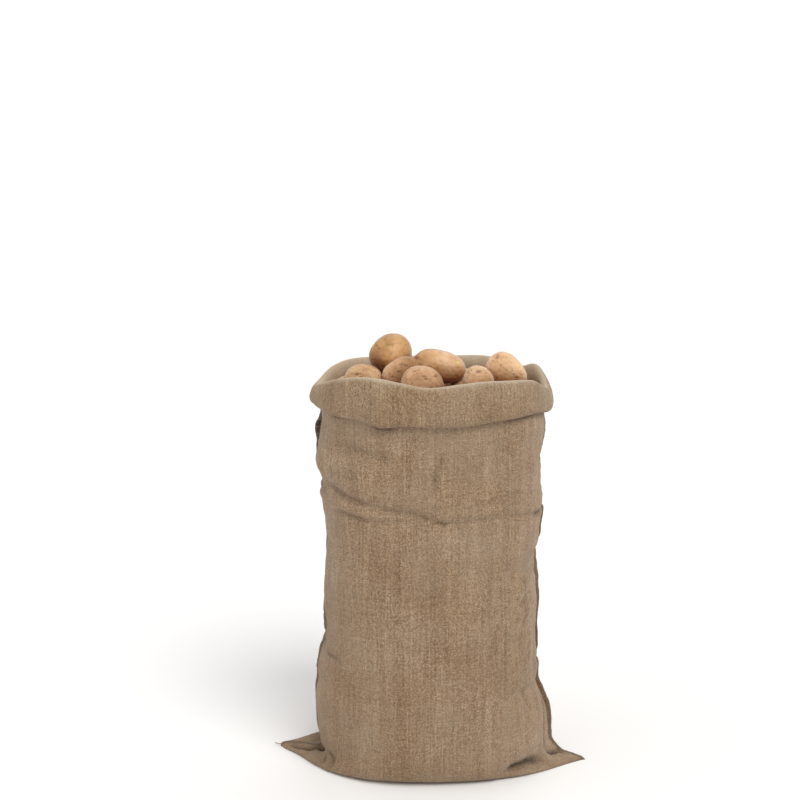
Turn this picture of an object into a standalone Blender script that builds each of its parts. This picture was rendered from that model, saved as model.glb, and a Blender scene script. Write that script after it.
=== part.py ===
"""Hessian sack of potatoes, standing open with its mouth turned down in a cuff.

The cloth is one length of hessian, folded under the base and sewn up both
sides, so it is one solid. The potatoes in the mouth and the filling that
carries them are solids of their own. Metres, +Z up. The sack stands on z = 0,
its front faces -Y and its side seams lie towards -X and +X.
"""

import math
from collections import namedtuple

import bmesh
import bpy
import numpy as np
from mathutils import Euler, Matrix, Vector
from mathutils.bvhtree import BVHTree

COLLECTION = "hessian_sack"

# Cloth
CLOTH = 0.002  # thickness of the hessian
COLUMNS_A_SIDE = 24  # columns across the front, and as many across the back
STATION_STEP = 0.032  # tallest band of faces on the wall
FIRST_COLUMN = 0.085  # angle from a seam to the next column, in radians

# Side seams: both edges stand out together as a narrow fin
FIN_ROOT = 0.0046  # width of the fin where it leaves the wall
FIN_EDGE = 0.0030  # width of its free edge
INNER_SEAM = 0.0016  # spacing of the inner face's points behind the fin
SEAM_INSET = 0.0060  # how far these points stay behind the ears' tips

# The seams draw the wall in, so the front and back bulge past them
GROOVE_LEFT = 0.006
GROOVE_RIGHT = 0.003
GROOVE_WIDTH = 0.13  # half width, as an angle in radians
GROOVE_LOW = (0.08, 0.14)  # heights between which the grooves begin
GROOVE_HIGH = (0.60, 0.64)  # and between which they end

# Ears: the pointed bottom corners
EAR_WIDTH = 0.20  # half width of an ear, as an angle in radians
EAR_SWEEP = 3.0  # power with which an ear's tip leaves the middle line
LEFT_TIP_BACK = 0.030  # how far back the left tip points
RIGHT_TIP_BACK = -0.022  # the right tip points forward

# Horizontal sections of the wall, from the floor up. `middle`, `side_left` and
# `side_right` are the heights at the middle and at the seams, `ear_*` the
# reach of the ears past the wall, and `roundness` the superellipse's power.
Section = namedtuple(
    "Section",
    "middle side_left side_right left right front back ear_left ear_right roundness",
)
SECTIONS = (
    Section(0.001, 0.001, 0.001, -0.243, 0.243, -0.127, 0.123, 0.045, 0.043, 1.80),
    Section(0.009, 0.010, 0.007, -0.240, 0.243, -0.142, 0.138, 0.045, 0.034, 1.85),
    Section(0.025, 0.018, 0.014, -0.224, 0.235, -0.154, 0.149, 0.042, 0.020, 1.92),
    Section(0.044, 0.026, 0.030, -0.204, 0.227, -0.161, 0.155, 0.020, 0.005, 2.00),
    Section(0.068, 0.042, 0.058, -0.200, 0.225, -0.165, 0.158, 0.000, 0.000, 2.06),
    Section(0.098, 0.090, 0.096, -0.207, 0.220, -0.166, 0.160, 0.000, 0.000, 2.10),
    Section(0.128, 0.128, 0.128, -0.208, 0.210, -0.165, 0.160, 0.000, 0.000, 2.12),
    Section(0.157, 0.157, 0.157, -0.204, 0.198, -0.164, 0.159, 0.000, 0.000, 2.14),
    Section(0.190, 0.190, 0.190, -0.200, 0.201, -0.163, 0.159, 0.000, 0.000, 2.15),
    Section(0.225, 0.225, 0.225, -0.194, 0.196, -0.163, 0.159, 0.000, 0.000, 2.15),
    Section(0.265, 0.265, 0.265, -0.189, 0.195, -0.163, 0.159, 0.000, 0.000, 2.16),
    Section(0.310, 0.310, 0.310, -0.189, 0.197, -0.162, 0.159, 0.000, 0.000, 2.16),
    Section(0.350, 0.350, 0.350, -0.188, 0.192, -0.162, 0.159, 0.000, 0.000, 2.16),
    Section(0.388, 0.388, 0.388, -0.187, 0.185, -0.162, 0.158, 0.000, 0.000, 2.16),
    Section(0.420, 0.420, 0.420, -0.187, 0.197, -0.162, 0.158, 0.000, 0.000, 2.16),
    Section(0.455, 0.455, 0.455, -0.187, 0.203, -0.162, 0.158, 0.000, 0.000, 2.16),
    Section(0.485, 0.485, 0.485, -0.189, 0.207, -0.161, 0.157, 0.000, 0.000, 2.15),
    Section(0.507, 0.507, 0.507, -0.193, 0.203, -0.160, 0.156, 0.000, 0.000, 2.15),
    Section(0.522, 0.522, 0.522, -0.196, 0.201, -0.162, 0.156, 0.000, 0.000, 2.15),
    Section(0.545, 0.545, 0.545, -0.195, 0.198, -0.163, 0.155, 0.000, 0.000, 2.15),
    Section(0.580, 0.580, 0.580, -0.199, 0.197, -0.161, 0.152, 0.000, 0.000, 2.15),
    Section(0.615, 0.615, 0.615, -0.199, 0.202, -0.157, 0.147, 0.000, 0.000, 2.14),
    Section(0.646, 0.646, 0.646, -0.190, 0.203, -0.153, 0.141, 0.000, 0.000, 2.12),
)
NECK = Section(0.700, 0.700, 0.700, -0.191, 0.199, -0.151, 0.132, 0.000, 0.000, 2.10)
NECK_STATIONS = (0.45, 1.0)  # shares of the way from the last section to the rim

# The rim and the cuff by angle: 0 is the right seam, 90 the back, 180 the
# left seam and 270 the front. `rim` is the crest's height, `edge` the height
# of the cuff's lower edge, and `stand_off` how far the cuff stands out.
Cuff = namedtuple("Cuff", "angle rim edge stand_off")
CUFFS = (
    Cuff(0, 0.692, 0.652, 0.020),
    Cuff(14, 0.708, 0.655, 0.020),
    Cuff(32, 0.733, 0.662, 0.019),
    Cuff(52, 0.735, 0.668, 0.018),
    Cuff(90, 0.731, 0.664, 0.018),
    Cuff(120, 0.733, 0.662, 0.018),
    Cuff(146, 0.722, 0.662, 0.019),
    Cuff(168, 0.697, 0.659, 0.019),
    Cuff(180, 0.695, 0.658, 0.019),
    Cuff(196, 0.716, 0.664, 0.018),
    Cuff(214, 0.740, 0.671, 0.018),
    Cuff(234, 0.754, 0.671, 0.019),
    Cuff(247, 0.752, 0.664, 0.020),
    Cuff(257, 0.745, 0.669, 0.018),
    Cuff(270, 0.740, 0.669, 0.019),
    Cuff(296, 0.747, 0.670, 0.020),
    Cuff(322, 0.745, 0.674, 0.020),
    Cuff(339, 0.736, 0.676, 0.018),
    Cuff(350, 0.714, 0.665, 0.019),
)
# Path of the cloth over the rim and round the cuff. `out` is a share of the
# stand-off, and `down` is measured from the rim, or up from the edge.
Turn = namedtuple("Turn", "out down up")
TURNS = (
    Turn(0.22, 0.003, None),
    Turn(0.50, 0.000, None),
    Turn(0.78, 0.004, None),
    Turn(0.95, 0.014, None),
    Turn(1.02, None, None),
    Turn(0.97, None, 0.014),
    Turn(0.80, None, 0.003),
    Turn(0.60, None, 0.000),
    Turn(0.44, None, 0.006),
    Turn(0.38, None, 0.020),
)
RIM_START = 0.013  # how far under the crest the cloth starts to turn out

# Height of the slumped crease across the front, at places along x
Crease = namedtuple("Crease", "x height")
CREASES = (
    Crease(-0.200, 0.520),
    Crease(-0.165, 0.520),
    Crease(-0.120, 0.509),
    Crease(-0.060, 0.502),
    Crease(0.020, 0.498),
    Crease(0.110, 0.501),
    Crease(0.165, 0.495),
    Crease(0.205, 0.486),
)
CREASE_HEIGHT = 0.507  # the section that follows the crease
CREASE_REACH = 0.035  # how far above and below it the sections bend with it
OVERHANG = 0.0080  # how far the slumped cloth stands out above the crease
OVERHANG_HEIGHT = 0.016
OVERHANG_SPREAD = 0.022
PINCH = 0.0045  # depth of the crease itself
PINCH_SPREAD = 0.010

# Soft folds as strokes on the front (side -1) or back (side +1), seen square
# on. A positive rise stands out and a negative one is a trough.
Fold = namedtuple("Fold", "side x1 z1 x2 z2 spread rise")
FOLDS = (
    Fold(-1, -0.150, 0.628, -0.040, 0.612, 0.024, -0.0060),
    Fold(-1, -0.160, 0.572, -0.010, 0.556, 0.020, 0.0030),
    Fold(-1, 0.060, 0.600, 0.150, 0.590, 0.030, 0.0030),
    Fold(-1, 0.026, 0.655, 0.016, 0.560, 0.012, -0.0035),
    Fold(-1, -0.175, 0.560, -0.115, 0.522, 0.011, 0.0030),
    Fold(-1, 0.130, 0.372, 0.185, 0.382, 0.013, 0.0040),
    Fold(-1, 0.115, 0.350, 0.170, 0.330, 0.012, -0.0035),
    Fold(-1, 0.165, 0.320, 0.150, 0.215, 0.012, 0.0030),
    Fold(-1, 0.195, 0.160, 0.140, 0.172, 0.014, -0.0035),
    Fold(-1, -0.100, 0.440, -0.110, 0.200, 0.030, -0.0025),
    Fold(-1, 0.040, 0.400, 0.060, 0.120, 0.034, 0.0025),
    Fold(-1, 0.135, 0.020, 0.205, 0.045, 0.010, -0.0045),
    Fold(-1, -0.200, 0.040, -0.160, 0.012, 0.012, -0.0040),
    Fold(1, -0.120, 0.560, 0.020, 0.520, 0.018, 0.0035),
    Fold(1, -0.060, 0.500, 0.120, 0.485, 0.014, -0.0040),
    Fold(1, -0.090, 0.420, -0.060, 0.160, 0.030, -0.0030),
    Fold(1, 0.110, 0.380, 0.080, 0.120, 0.028, 0.0030),
    Fold(1, 0.030, 0.640, 0.010, 0.560, 0.016, -0.0035),
)
# The potatoes press against the cloth in low lumps
LUMP_RISE = 0.0012
LUMP_PITCH = 0.085

# How far each seam's fin stands out, and how far it leans back, by height
Fin = namedtuple("Fin", "height left right lean_left lean_right")
FINS = (
    Fin(0.000, 0.0020, 0.0020, 0.000, 0.000),
    Fin(0.030, 0.0040, 0.0060, 0.003, 0.000),
    Fin(0.070, 0.0030, 0.0090, 0.004, -0.001),
    Fin(0.110, 0.0030, 0.0075, 0.005, -0.002),
    Fin(0.160, 0.0055, 0.0070, 0.008, 0.001),
    Fin(0.220, 0.0060, 0.0075, 0.008, -0.002),
    Fin(0.285, 0.0060, 0.0080, 0.008, -0.001),
    Fin(0.360, 0.0035, 0.0080, 0.007, 0.001),
    Fin(0.440, 0.0030, 0.0085, 0.006, -0.001),
    Fin(0.520, 0.0045, 0.0070, 0.007, 0.001),
    Fin(0.600, 0.0060, 0.0080, 0.008, -0.001),
    Fin(0.636, 0.0050, 0.0070, 0.006, 0.000),
    Fin(0.652, 0.0030, 0.0038, 0.003, 0.000),
    Fin(0.668, 0.0020, 0.0020, 0.001, 0.000),
    Fin(0.682, 0.0000, 0.0000, 0.000, 0.000),
    Fin(0.800, 0.0000, 0.0000, 0.000, 0.000),
)

# Potatoes: middle, length, width and depth, turn about Z, tilt of the long
# axis above level, taper of the far end, and icosphere steps
Potato = namedtuple("Potato", "name x y z length width depth turn tilt taper steps")
POTATOES = (
    Potato("potato_left", -0.115, -0.045, 0.728, 0.066, 0.052, 0.054, -4, -2, 0.04, 3),
    Potato("potato_top", -0.067, 0.005, 0.762, 0.077, 0.070, 0.0715, 60, 40, 0.08, 3),
    Potato("potato_slant", -0.051, -0.053, 0.742, 0.070, 0.046, 0.048, 24, 36, 0.05, 3),
    Potato("potato_long", 0.017, -0.017, 0.746, 0.094, 0.058, 0.058, -6, -9, 0.05, 3),
    Potato("potato_front", -0.013, -0.098, 0.728, 0.076, 0.062, 0.072, 8, 6, 0.06, 3),
    Potato("potato_small", 0.086, -0.082, 0.733, 0.052, 0.050, 0.056, 20, 0, 0.05, 3),
    Potato("potato_pear", 0.137, -0.022, 0.738, 0.075, 0.056, 0.057, -8, -30, 0.22, 3),
    Potato("potato_back_left", -0.150, 0.030, 0.684, 0.070, 0.058, 0.056, 70, 8, 0.06, 2),
    Potato("potato_back_a", -0.092, 0.080, 0.688, 0.078, 0.058, 0.058, 12, -5, 0.05, 2),
    Potato("potato_back_b", -0.012, 0.080, 0.689, 0.076, 0.062, 0.062, -15, 6, 0.07, 2),
    Potato("potato_back_c", 0.065, 0.074, 0.690, 0.072, 0.058, 0.058, 15, -4, 0.06, 2),
    Potato("potato_back_right", 0.138, 0.046, 0.691, 0.074, 0.060, 0.058, -35, 5, 0.05, 2),
    Potato("potato_under_top", -0.086, 0.015, 0.698, 0.068, 0.054, 0.054, -30, 6, 0.05, 2),
    Potato("potato_centre", -0.010, 0.010, 0.698, 0.074, 0.060, 0.054, 20, 4, 0.05, 2),
    Potato("potato_middle", 0.069, -0.004, 0.696, 0.074, 0.062, 0.056, 70, -6, 0.05, 2),
    Potato("potato_low_front", 0.048, -0.099, 0.689, 0.074, 0.056, 0.054, 5, -5, 0.05, 2),
    Potato("potato_low_right", 0.128, -0.066, 0.694, 0.070, 0.056, 0.056, 40, 6, 0.06, 2),
    Potato("potato_corner", -0.084, -0.092, 0.686, 0.072, 0.054, 0.054, -28, 5, 0.05, 2),
)
BOXY = 2.2  # power that squares a potato's shoulders slightly
POTATO_LUMP = 0.035

# The buried potatoes: one plain solid with a lumpy top
FILLING_GAP = 0.011  # room between it and the cloth
FILLING_COLUMNS = 40
FILLING_REACH = 0.198  # it keeps out of the flare at the base
FILLING_LOW = 0.008
FILLING_LEVEL = 0.638  # height of the hollows between the lumps
FILLING_EDGE = 0.622  # height of its top where it meets the wall
FILLING_BANDS = 14
FILLING_RINGS = (0.93, 0.84, 0.74, 0.63, 0.51, 0.39, 0.27, 0.15)
TOUCH = 0.0006  # gap that stands for touching
Lump = namedtuple("Lump", "x y radius")
LUMPS = (
    Lump(-0.130, -0.040, 0.038),
    Lump(-0.138, 0.036, 0.034),
    Lump(-0.060, -0.056, 0.036),
    Lump(-0.088, 0.062, 0.036),
    Lump(-0.032, -0.020, 0.034),
    Lump(-0.020, -0.086, 0.034),
    Lump(-0.008, 0.060, 0.038),
    Lump(0.036, -0.048, 0.038),
    Lump(0.056, 0.042, 0.036),
    Lump(0.088, -0.066, 0.034),
    Lump(0.106, 0.014, 0.038),
    Lump(0.146, -0.018, 0.034),
    Lump(0.132, 0.044, 0.032),
    Lump(-0.090, -0.088, 0.032),
)
LUMP_CEILING = 0.712  # no lump rises above this

Finish = namedtuple("Finish", "name colour roughness")
HESSIAN = Finish("hessian", (0.305, 0.216, 0.134), 0.92)
POTATO_SKIN = Finish("potato_skin", (0.552, 0.323, 0.149), 0.62)
BURIED = Finish("buried_potatoes", (0.300, 0.180, 0.090), 0.80)


def spline(table, keys, at, closed_at=None):
    """Catmull-Rom values of a table's columns at the given key values.

    Args:
        table: Rows of numbers, in the order of their first column.
        keys: Name of the column that `at` is measured in, or None for the
            row's own number.
        at: Numpy array of places to read.
        closed_at: Period of the key where the table runs in a circle.

    Returns:
        An array with one row of values for each place.
    """
    rows = np.array([[float(value) for value in row] for row in table])
    places = np.arange(len(rows), dtype=float)
    if keys is not None:
        places = rows[:, table[0]._fields.index(keys)]
    if closed_at is not None:
        before = rows[-2:].copy()
        after = rows[:2].copy()
        rows = np.concatenate([before, rows, after])
        places = np.concatenate(
            [places[-2:] - closed_at, places, places[:2] + closed_at]
        )
    slopes = np.gradient(rows, places, axis=0)
    index = np.clip(np.searchsorted(places, at, side="right") - 1, 0, len(places) - 2)
    gap = (places[index + 1] - places[index])[:, None]
    t = np.clip((at[:, None] - places[index][:, None]) / gap, 0.0, 1.0)
    start, end = rows[index], rows[index + 1]
    lead, trail = slopes[index] * gap, slopes[index + 1] * gap
    return (
        (2 * t**3 - 3 * t**2 + 1) * start
        + (t**3 - 2 * t**2 + t) * lead
        + (3 * t**2 - 2 * t**3) * end
        + (t**3 - t**2) * trail
    )


def smooth_step(values, start, end):
    """Ramp from 0 at `start` to 1 at `end`, level at both ends."""
    t = np.clip((values - start) / (end - start), 0.0, 1.0)
    return t * t * (3.0 - 2.0 * t)


def column_angles():
    """Angles of the grid's columns: right seam, back, left seam, front."""
    side = np.linspace(FIRST_COLUMN, math.pi - FIRST_COLUMN, COLUMNS_A_SIDE)
    return np.concatenate([[0.0], side, [math.pi], side + math.pi])


def outward(points):
    """Horizontal unit normals of closed rings of points, one ring a row."""
    along = np.roll(points, -1, axis=1) - np.roll(points, 1, axis=1)
    normals = np.stack([along[..., 1], -along[..., 0], 0.0 * along[..., 0]], axis=-1)
    return normals / np.linalg.norm(normals, axis=-1, keepdims=True)


def section_points(sections, angles):
    """Middle surface of the cloth at the given sections, without its folds."""
    value = {name: sections[:, i, None] for i, name in enumerate(Section._fields)}
    cos, sin = np.cos(angles)[None, :], np.sin(angles)[None, :]
    power = 2.0 / value["roundness"]
    across = np.sign(cos) * np.abs(cos) ** power
    bulge = np.abs(sin) ** power
    from_right = np.arccos(np.clip(cos, -1.0, 1.0))
    right_ear = value["ear_right"] * np.exp(-((from_right / EAR_WIDTH) ** 2))
    left_ear = value["ear_left"] * np.exp(-(((math.pi - from_right) / EAR_WIDTH) ** 2))
    x = across * np.where(cos > 0, value["right"], -value["left"]) + right_ear - left_ear
    right_sweep = RIGHT_TIP_BACK * value["ear_right"] / SECTIONS[0].ear_right
    left_sweep = LEFT_TIP_BACK * value["ear_left"] / SECTIONS[0].ear_left
    sweep = np.where(cos > 0, right_sweep, left_sweep) * np.abs(across) ** EAR_SWEEP
    y = sweep + np.where(sin < 0, value["front"], value["back"]) * bulge
    side = np.where(cos > 0, value["side_right"], value["side_left"])
    lift = (side - value["middle"]) * across**4
    return np.stack([x, y, value["middle"] + lift], axis=-1)


def stroke_distance(x, z, fold):
    """Distance from the points to a fold's stroke, seen square on."""
    along_x, along_z = fold.x2 - fold.x1, fold.z2 - fold.z1
    share = ((x - fold.x1) * along_x + (z - fold.z1) * along_z) / (along_x**2 + along_z**2)
    share = np.clip(share, 0.0, 1.0)
    return np.hypot(x - fold.x1 - share * along_x, z - fold.z1 - share * along_z)


def seam_groove(z, angles):
    """How far the seams draw the wall in at the heights and angles."""
    from_right = np.arccos(np.clip(np.cos(angles), -1.0, 1.0))[None, :]
    right = GROOVE_RIGHT * np.exp(-((from_right / GROOVE_WIDTH) ** 2))
    left = GROOVE_LEFT * np.exp(-(((math.pi - from_right) / GROOVE_WIDTH) ** 2))
    return (left + right) * smooth_step(z, *GROOVE_LOW) * (1 - smooth_step(z, *GROOVE_HIGH))


def fold_wall(points, angles):
    """Bends the wall's sections along the slumped crease and adds its folds."""
    x, z = points[..., 0], points[..., 2]
    front = smooth_step(-np.sin(angles), 0.0, 0.35)[None, :]
    back = smooth_step(np.sin(angles), 0.0, 0.35)[None, :]
    crease = spline(CREASES, "x", x.ravel())[:, 1].reshape(x.shape)
    near = np.exp(-(((z - CREASE_HEIGHT) / CREASE_REACH) ** 2))
    z = z + (crease - CREASE_HEIGHT) * near * front
    above = z - crease
    rise = OVERHANG * np.exp(-(((above - OVERHANG_HEIGHT) / OVERHANG_SPREAD) ** 2))
    rise = (rise - PINCH * np.exp(-((above / PINCH_SPREAD) ** 2))) * front
    for fold in FOLDS:
        face = front if fold.side < 0 else back
        distance = stroke_distance(x, z, fold)
        rise = rise + fold.rise * np.exp(-((distance / fold.spread) ** 2)) * face
    round_wall = angles[None, :] * SECTIONS[-1].right
    turn = 2.0 * math.pi / LUMP_PITCH
    lumps = np.sin(turn * round_wall + 1.2 * np.sin(turn * z / 2)) * np.sin(turn * z)
    rise = rise + LUMP_RISE * lumps * (front + back) * smooth_step(z, 0.03, 0.10)
    rise = rise - seam_groove(z, angles)
    moved = points + outward(points) * rise[..., None]
    moved[..., 2] = z
    return moved


def wall_stations(step):
    """Row numbers to read the sections at, none further apart than `step`."""
    stations = [0.0]
    for index in range(len(SECTIONS) - 1):
        height = SECTIONS[index + 1].middle - SECTIONS[index].middle
        pieces = math.ceil(height / step)
        stations += [index + (piece + 1) / pieces for piece in range(pieces)]
    return np.array(stations)


def cloth_middle(angles, step):
    """Middle surface of the whole cloth, from the floor round to the hem."""
    sections = spline(SECTIONS, None, wall_stations(step))
    wall = fold_wall(section_points(sections, angles), angles)
    cuff = spline(CUFFS, "angle", np.degrees(angles), closed_at=360)
    rim, edge, stand_off = cuff[:, 1], cuff[:, 2], cuff[:, 3]
    neck = section_points(np.array([NECK]), angles)
    out = outward(neck)[0]
    rows = list(wall)
    for share in NECK_STATIONS:
        ring = wall[-1] + (neck[0] - wall[-1]) * share
        ring[:, 2] = wall[-1, :, 2] + (rim - RIM_START - wall[-1, :, 2]) * share
        rows.append(ring)
    for turn in TURNS:
        ring = neck[0] + out * (turn.out * stand_off)[:, None]
        ring[:, 2] = (rim + edge) / 2
        if turn.down is not None:
            ring[:, 2] = rim - turn.down
        if turn.up is not None:
            ring[:, 2] = edge + turn.up
        rows.append(ring)
    return np.array(rows)


def surface_normals(points):
    """Unit normals of a grid of closed rings, outward on the wall."""
    along = np.roll(points, -1, axis=1) - np.roll(points, 1, axis=1)
    up = np.gradient(points, axis=0)
    normals = np.cross(along, up)
    return normals / np.linalg.norm(normals, axis=-1, keepdims=True)


def sew_seams(skin, out, spacing, reach, lean):
    """Puts four columns of points in the place of each seam's single column.

    Args:
        skin: Grid of points, whose columns 0 and 1 + COLUMNS_A_SIDE are seams.
        out: Horizontal outward directions of the grid.
        spacing: Places of the four columns along the ring, from its middle.
        reach: For each seam, how far the two middle columns stand out.
        lean: For each seam, how far they lean back.

    Returns:
        The wider grid.
    """
    columns = []
    seams = (0, 1 + COLUMNS_A_SIDE)
    for column in range(skin.shape[1]):
        if column not in seams:
            columns.append(skin[:, column])
            continue
        side = seams.index(column)
        normal = out[:, column]
        along = np.stack([-normal[:, 1], normal[:, 0], normal[:, 2]], axis=-1)
        for number, place in enumerate(spacing):
            point = skin[:, column] + along * place
            if number in (1, 2):
                point = point + normal * reach[side][:, None]
                point[:, 1] += lean[side]
            columns.append(point)
    return np.stack(columns, axis=1)


def cloth_skins(middle):
    """Outer and inner points of the cloth, with its seams sewn."""
    normals = surface_normals(middle)
    out = outward(middle)
    outer = middle + normals * CLOTH / 2
    inner = middle - normals * CLOTH / 2
    outer[0] = middle[0] * (1, 1, 0)
    inner[0] = middle[0] * (1, 1, 0) - out[0] * CLOTH + (0, 0, CLOTH)
    heights = middle[:, 0, 2]
    turned = np.maximum.accumulate(heights) > heights + 1e-9
    fins = spline(FINS, "height", heights)
    fins[turned] = 0.0
    ears = smooth_step(-heights, -SECTIONS[4].middle, 0.0)
    inner[:, 0] -= out[:, 0] * (SEAM_INSET * ears)[:, None]
    inner[:, 1 + COLUMNS_A_SIDE] -= out[:, 1 + COLUMNS_A_SIDE] * (SEAM_INSET * ears)[:, None]
    none = [np.zeros(len(heights))] * 2
    places = np.array([-FIN_ROOT, -FIN_EDGE, FIN_EDGE, FIN_ROOT]) / 2
    outer = sew_seams(outer, out, places, fins[:, 1:3].T, fins[:, 3:5].T)
    inner = sew_seams(inner, out, np.array([-1.5, -0.5, 0.5, 1.5]) * INNER_SEAM, none, none)
    return outer, inner


def add_grid(mesh, points):
    """Adds a grid of closed rings to a bmesh and returns its vertices."""
    rings = [[mesh.verts.new(point) for point in ring] for ring in points]
    for low, high in zip(rings, rings[1:]):
        join_rings(mesh, low, high)
    return rings


def join_rings(mesh, low, high):
    """Adds a band of four-sided faces between two rings of vertices."""
    for index in range(len(low)):
        following = (index + 1) % len(low)
        mesh.faces.new((low[index], low[following], high[following], high[index]))


def close_base(mesh, ring):
    """Closes the floor with strips that run from the front to the back."""
    half = len(ring) // 2
    pairs = [(ring[1 - index], ring[2 + index]) for index in range(half)]
    for (front, back), (next_front, next_back) in zip(pairs, pairs[1:]):
        mesh.faces.new((front, back, next_back, next_front))


def make_sack(collection):
    """The cloth of the sack, one closed sheet."""
    outer, inner = cloth_skins(cloth_middle(column_angles(), STATION_STEP))
    mesh = bmesh.new()
    outer_rings = add_grid(mesh, outer)
    inner_rings = add_grid(mesh, inner)
    join_rings(mesh, outer_rings[-1], inner_rings[-1])
    close_base(mesh, outer_rings[0])
    close_base(mesh, inner_rings[0])
    bmesh.ops.recalc_face_normals(mesh, faces=mesh.faces)
    return add_object("sack", mesh, collection, HESSIAN)


def make_potato(row, number, collection):
    """One potato: a rounded, slightly lumpy and tapered ball."""
    mesh = bmesh.new()
    bmesh.ops.create_icosphere(mesh, subdivisions=row.steps, radius=1.0)
    half = Vector((row.length, row.width, row.depth)) / 2
    for vert in mesh.verts:
        x, y, z = vert.co.normalized()
        boxy = (abs(x) ** BOXY + abs(y) ** BOXY + abs(z) ** BOXY) ** (-1 / BOXY)
        lump = 1 + POTATO_LUMP * math.sin(3 * x + 2 * y + number) * math.cos(2 * z - number)
        thin = 1 - row.taper * x
        radius = boxy * lump
        vert.co = (x * radius * half.x, y * radius * half.y * thin, z * radius * half.z * thin)
    potato = add_object(row.name, mesh, collection, POTATO_SKIN)
    potato.location = (row.x, row.y, row.z)
    potato.rotation_euler = Euler((0, -math.radians(row.tilt), math.radians(row.turn)))
    return potato


def raised_height(lump, trees):
    """Highest place where a buried lump still clears the potatoes above it."""
    middle = Vector((lump.x, lump.y, FILLING_EDGE - lump.radius))
    step = 0.0005
    while middle.z + lump.radius < LUMP_CEILING:
        nearest = min(tree.find_nearest(middle)[3] for tree in trees)
        if nearest < lump.radius + TOUCH + step:
            break
        middle.z += step
    return middle.z


def filling_top(x, y, lumps):
    """Height of the filling's top at one place."""
    top = FILLING_LEVEL
    for lump, height in lumps:
        beside = math.hypot(x - lump.x, y - lump.y)
        if beside < lump.radius:
            top = max(top, height + math.sqrt(lump.radius**2 - beside**2))
    return top


def make_filling(potatoes, collection):
    """The buried potatoes as one solid that carries the ones in the mouth."""
    trees = [BVHTree.FromPolygons(*world_faces(potato)) for potato in potatoes]
    lumps = [(lump, raised_height(lump, trees)) for lump in LUMPS]
    angles = np.arange(FILLING_COLUMNS) * 2 * math.pi / FILLING_COLUMNS
    bare = [
        row._replace(
            left=max(row.left, -FILLING_REACH),
            right=min(row.right, FILLING_REACH),
            ear_left=0.0,
            ear_right=0.0,
        )
        for row in SECTIONS
    ]
    heights = np.linspace(FILLING_LOW, FILLING_EDGE, FILLING_BANDS)
    stations = np.interp(heights, [row.middle for row in SECTIONS], range(len(SECTIONS)))
    wall = fold_wall(section_points(spline(bare, None, stations), angles), angles)
    wall = wall - outward(wall) * (CLOTH / 2 + FILLING_GAP)
    mesh = bmesh.new()
    rings = add_grid(mesh, wall)
    mesh.faces.new(rings[0])
    shrunk = [wall[-1] * (share, share, 1) for share in FILLING_RINGS]
    for ring in shrunk:
        for point in ring:
            point[2] = filling_top(point[0], point[1], lumps)
    top = add_grid(mesh, shrunk)
    join_rings(mesh, rings[-1], top[0])
    mesh.faces.new(top[-1])
    bmesh.ops.recalc_face_normals(mesh, faces=mesh.faces)
    return add_object("filling", mesh, collection, BURIED)


def world_faces(obj):
    """World points and faces of an object, for a distance tree."""
    matrix = Matrix.LocRotScale(obj.location, obj.rotation_euler, None)
    points = [matrix @ vert.co for vert in obj.data.vertices]
    return points, [tuple(face.vertices) for face in obj.data.polygons]


def make_material(finish):
    """A Principled material with the finish's colour and roughness."""
    material = bpy.data.materials.get(finish.name) or bpy.data.materials.new(finish.name)
    material.use_nodes = True
    shader = material.node_tree.nodes["Principled BSDF"]
    shader.inputs["Base Color"].default_value = (*finish.colour, 1.0)
    shader.inputs["Roughness"].default_value = finish.roughness
    shader.inputs["Metallic"].default_value = 0.0
    material.diffuse_color = (*finish.colour, 1.0)
    return material


def add_object(name, mesh, collection, finish):
    """Makes a smooth shaded object of a bmesh, with its material."""
    data = bpy.data.meshes.new(name)
    mesh.to_mesh(data)
    mesh.free()
    data.shade_smooth()
    data.materials.append(make_material(finish))
    obj = bpy.data.objects.new(name, data)
    collection.objects.link(obj)
    return obj


def main():
    for obj in list(bpy.data.objects):
        bpy.data.objects.remove(obj)
    collection = bpy.data.collections.new(COLLECTION)
    bpy.context.scene.collection.children.link(collection)
    make_sack(collection)
    potatoes = [make_potato(row, number, collection) for number, row in enumerate(POTATOES)]
    make_filling(potatoes, collection)


if __name__ == "__main__":
    main()
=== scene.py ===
"""Looks of the hessian sack of potatoes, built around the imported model.

The cloth is lofted again from the sack's own sections at a finer step, with its
weave, its seams' stitches and its loose fibres. The potatoes are finer copies
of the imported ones. Metres, +Z up, the sack's front faces -Y.
"""

import logging
import math
import random
from collections.abc import Mapping, Sequence
from dataclasses import dataclass, field
from enum import Enum
from typing import Any, NamedTuple

import bmesh
import bpy
import numpy as np
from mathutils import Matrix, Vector, noise

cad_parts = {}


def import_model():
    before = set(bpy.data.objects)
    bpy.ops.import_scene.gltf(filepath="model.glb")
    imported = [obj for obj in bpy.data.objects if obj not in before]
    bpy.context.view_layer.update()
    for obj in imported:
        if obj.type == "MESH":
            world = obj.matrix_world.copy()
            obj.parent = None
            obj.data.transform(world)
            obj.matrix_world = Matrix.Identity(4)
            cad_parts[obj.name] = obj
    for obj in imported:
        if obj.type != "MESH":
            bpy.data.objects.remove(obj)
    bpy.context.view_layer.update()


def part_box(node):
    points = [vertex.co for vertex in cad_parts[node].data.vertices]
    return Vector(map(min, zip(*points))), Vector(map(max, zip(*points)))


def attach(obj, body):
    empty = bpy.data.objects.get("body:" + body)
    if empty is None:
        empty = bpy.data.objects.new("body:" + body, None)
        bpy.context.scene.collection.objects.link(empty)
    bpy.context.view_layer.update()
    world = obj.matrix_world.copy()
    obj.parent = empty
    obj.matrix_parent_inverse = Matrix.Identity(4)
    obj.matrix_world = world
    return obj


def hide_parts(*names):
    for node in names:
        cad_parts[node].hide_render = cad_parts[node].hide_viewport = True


BODY = "root"
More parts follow.
